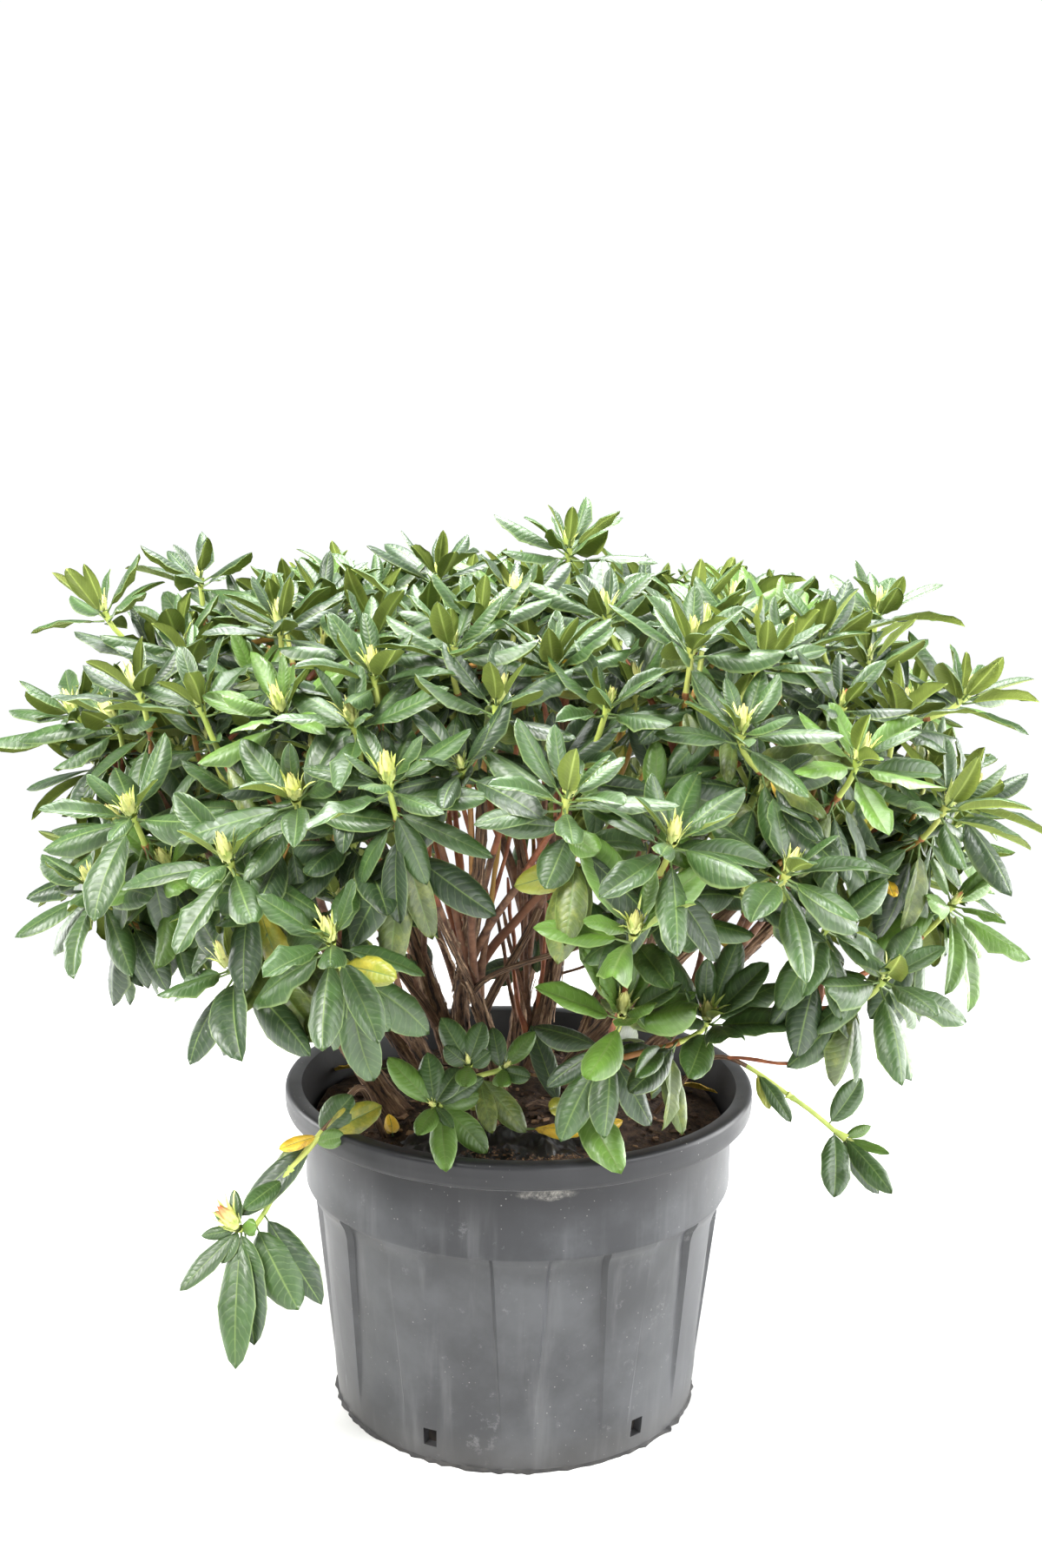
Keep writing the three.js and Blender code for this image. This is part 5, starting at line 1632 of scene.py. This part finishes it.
# name: place in metres, size, power and colour
LAMPS = {
    "key": ((-1.7, -2.1, 3.2), 1.7, 265, (1.0, 0.99, 0.965)),
    "fill": ((2.6, -1.6, 1.9), 2.0, 100, (0.98, 0.99, 1.0)),
    "low_fill": ((1.2, -2.9, 0.7), 1.4, 32, (0.98, 0.99, 1.0)),
    "top": ((0.1, 0.3, 3.4), 1.9, 265, (0.98, 0.99, 1.0)),
    "left_edge": ((-2.6, 0.8, 0.9), 1.4, 60, (1.0, 1.0, 1.0)),
    "right_edge": ((2.6, 0.5, 0.9), 2.0, 125, (1.0, 1.0, 1.0)),
}


def make_room():
    """The room as a world: white behind the plant, a little dimmer in front of it, and dim overhead."""
    world = bpy.data.worlds.new("studio")
    world.use_nodes = True
    nodes, links = world.node_tree.nodes, world.node_tree.links
    parts = nodes.new("ShaderNodeSeparateXYZ")
    links.new(nodes.new("ShaderNodeTexCoord").outputs["Generated"], parts.inputs[0])
    strength = nodes.new("ShaderNodeMath")
    strength.operation = "MULTIPLY"
    walls, overhead = (-0.3, 0.3, ROOM["front"], ROOM["back"]), (0.35, 0.7, 1.0, ROOM["ceiling"])
    for i, settings in enumerate((walls, overhead)):
        node = nodes.new("ShaderNodeMapRange")
        links.new(parts.outputs[1 + i], node.inputs[0])
        for socket, value in zip(list(node.inputs)[1:5], settings):
            socket.default_value = value
        links.new(node.outputs[0], strength.inputs[i])
    links.new(strength.outputs[0], nodes["Background"].inputs["Strength"])
    nodes["Background"].inputs["Color"].default_value = (0.97, 0.985, 1.0, 1)
    return world


def make_stage():
    """A pale round floor in a white room, and soft lights."""
    scene = bpy.context.scene
    turns = np.linspace(0, 2 * np.pi, FLOOR["sides"], endpoint=False)
    reach = np.array([[FLOOR["hole"]], [1]]) * FLOOR["radius"]
    bag = Bag()
    bag.add_tube(table_of(reach * np.cos(turns), reach * np.sin(turns), -FLOOR["drop"]), None)
    pale = plain_finish("stage", (0.80, 0.80, 0.79), (0.84, 0.84, 0.83), 3, 0.7)
    bag.build("stage_floor", [pale])
    scene.world = make_room()
    for name, (place, size, power, colour) in LAMPS.items():
        light = bpy.data.lights.new(name, "AREA")
        light.shape, light.size, light.energy, light.color = "DISK", size, power, colour
        lamp = bpy.data.objects.new(name, light)
        lamp.location = place
        lamp.visible_camera = False
        lamp.rotation_euler = (AIM - Vector(place)).to_track_quat("-Z", "Y").to_euler()
        scene.collection.objects.link(lamp)


def make_camera():
    """The camera of the photograph."""
    scene = bpy.context.scene
    lens = bpy.data.cameras.new("camera")
    lens.sensor_fit = "VERTICAL"
    lens.sensor_height = SENSOR
    lens.lens = SENSOR * CAMERA["focal_px"] / CAMERA["long_px"]
    camera = bpy.data.objects.new("camera", lens)
    camera.rotation_mode = "QUATERNION"
    pitch = Quaternion(Vector((1, 0, 0)), math.radians(90 - CAMERA["pitch"]))
    camera.rotation_quaternion = pitch @ Quaternion(Vector((0, 0, 1)), math.radians(CAMERA["roll"]))
    camera.location = CAMERA["place"]
    scene.collection.objects.link(camera)
    scene.camera = camera
    scene.view_settings.view_transform = "Standard"


# ---- Putting it together ----

FLOWERING = {"fine": 0.35, "strong": 0.85, "size": (0.85, 1.1), "leaf_bud_size": (0.45, 0.62), "red": 0.03}


def leaf_piece(mass):
    """Name of the joined piece that holds the leaves of a mass."""
    group = mass.name.split("_")[0]
    if group in ("top", "shoulder", "side"):
        return "leaves_" + group + ("_front" if mass.shoots[0][1] < 0 else "_back")
    return "leaves_low"


def dress(piece, slot, *nodes):
    """Puts a piece on the part's one body and says which solids it replaces. Its slot is not used."""
    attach(piece, "root")
    if nodes:
        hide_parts(*nodes)


def grow_leaves(masses, shoots, limbs, materials):
    """The whorls of every shoot and the single leaves, joined by the part of the crown they are in."""
    tables = {}
    for shoot in shoots:
        table = tables.setdefault(leaf_piece(shoot.mass), LeafTable())
        table.keeps_clear = shoot.mass.is_crown
        if shoot.mass.has_whorls:
            young_whorl(shoot, table)
            if not 0 < shoot.firm_leaves < FULL_WHORL:
                older_whorl(shoot, table)
    draw = seeded(SEEDS["single"])
    for carrier, leaves in SINGLE_LEAVES:
        if isinstance(carrier, str):
            curve = limbs[carrier].curve
        else:
            curve = [shoot for shoot in shoots if shoot.mass.name == carrier[0]][carrier[1]].curve
        for share, tip, width, kind in leaves:
            single_leaf(tables["leaves_low"], curve.at(share), np.array(tip, float), width, kind, draw)
    for name, table in tables.items():
        bag = Bag()
        blades(table, bag)
        nodes = ["foliage_" + mass.name for mass in masses if leaf_piece(mass) == name]
        dress(bag.build(name, materials), "leaf", *nodes)


def grow_wood(shoots, limbs):
    """Every shoot's bud and twig, and the stems and boughs with their bark."""
    buds, twigs, bark = Bag(), Bag(), Bag()
    templates = [bud_template(seed) for seed in SEEDS["buds"]]
    for i, shoot in enumerate(shoots):
        is_flower = shoot.draw() < FLOWERING["fine" if shoot.is_fine else "strong"]
        if is_flower or shoot.firm_leaves or not shoot.mass.has_whorls:
            size = shoot.draw(*FLOWERING["size"])
        else:
            size = shoot.draw(*FLOWERING["leaf_bud_size"])
        is_red = shoot.mass.name == "weeping_left" or shoot.draw() < FLOWERING["red"]
        add_bud(buds, templates[i % len(templates)], shoot, size * shoot.mass.leaf_size, is_red)
        add_twig(twigs, shoot)
    dress(buds.build("buds", bud_materials()), "leaf")

    draw = seeded(SEEDS["bark"])
    for name, limb in limbs.items():
        add_limb(bark, limb, draw(), **LIMB_LOOKS.get(name, {}))
        if name.startswith("stem"):
            add_bark_strips(bark, limb, draw)
    add_inner_twigs(twigs, bark, limbs)
    dress(twigs.build("twigs", twig_materials()), "bark")
    dress(bark.build("bark_limbs", [*bark_materials(), bpy.data.materials["twig_green"]]), "bark", *limbs)


def fill_tub(leaf_looks):
    """The tub, its soil, and what lies on it."""
    dress(make_tub(tub_materials()), "tub", "tub")
    soil = plain_finish("soil", (0.018, 0.010, 0.007), (0.075, 0.042, 0.025), 90, 0.95, 240, 1.0, 0.004)
    dress(make_soil(soil), "soil", "soil")
    chips = [plain_finish("chip_dark", (0.03, 0.017, 0.01), (0.10, 0.055, 0.03), 120, 0.9),
             plain_finish("chip_pale", (0.16, 0.09, 0.045), (0.30, 0.18, 0.10), 120, 0.9)]
    dress(make_chips(chips), "soil")
    film = plain_finish("liner_film", (0.004, 0.004, 0.005), (0.012, 0.012, 0.013), 20, 0.36, 60, 0.5, 0.002)
    dress(make_liner(film), "tub")
    dress(make_fallen(leaf_looks), "leaf")


noise.seed_set(SEEDS["noise"])      # without it the wandering of the twigs changes from run to run
make_stage()
make_camera()
all_masses, all_places = plan_masses()
all_limbs = plan_limbs(all_masses)
all_shoots = grow_shoots(all_masses)
all_shoots += grow_fine_shoots(all_shoots, all_limbs, all_places)
leaf_looks = leaf_materials()
grow_leaves(all_masses, all_shoots, all_limbs, leaf_looks)
grow_wood(all_shoots, all_limbs)
fill_tub(leaf_looks)
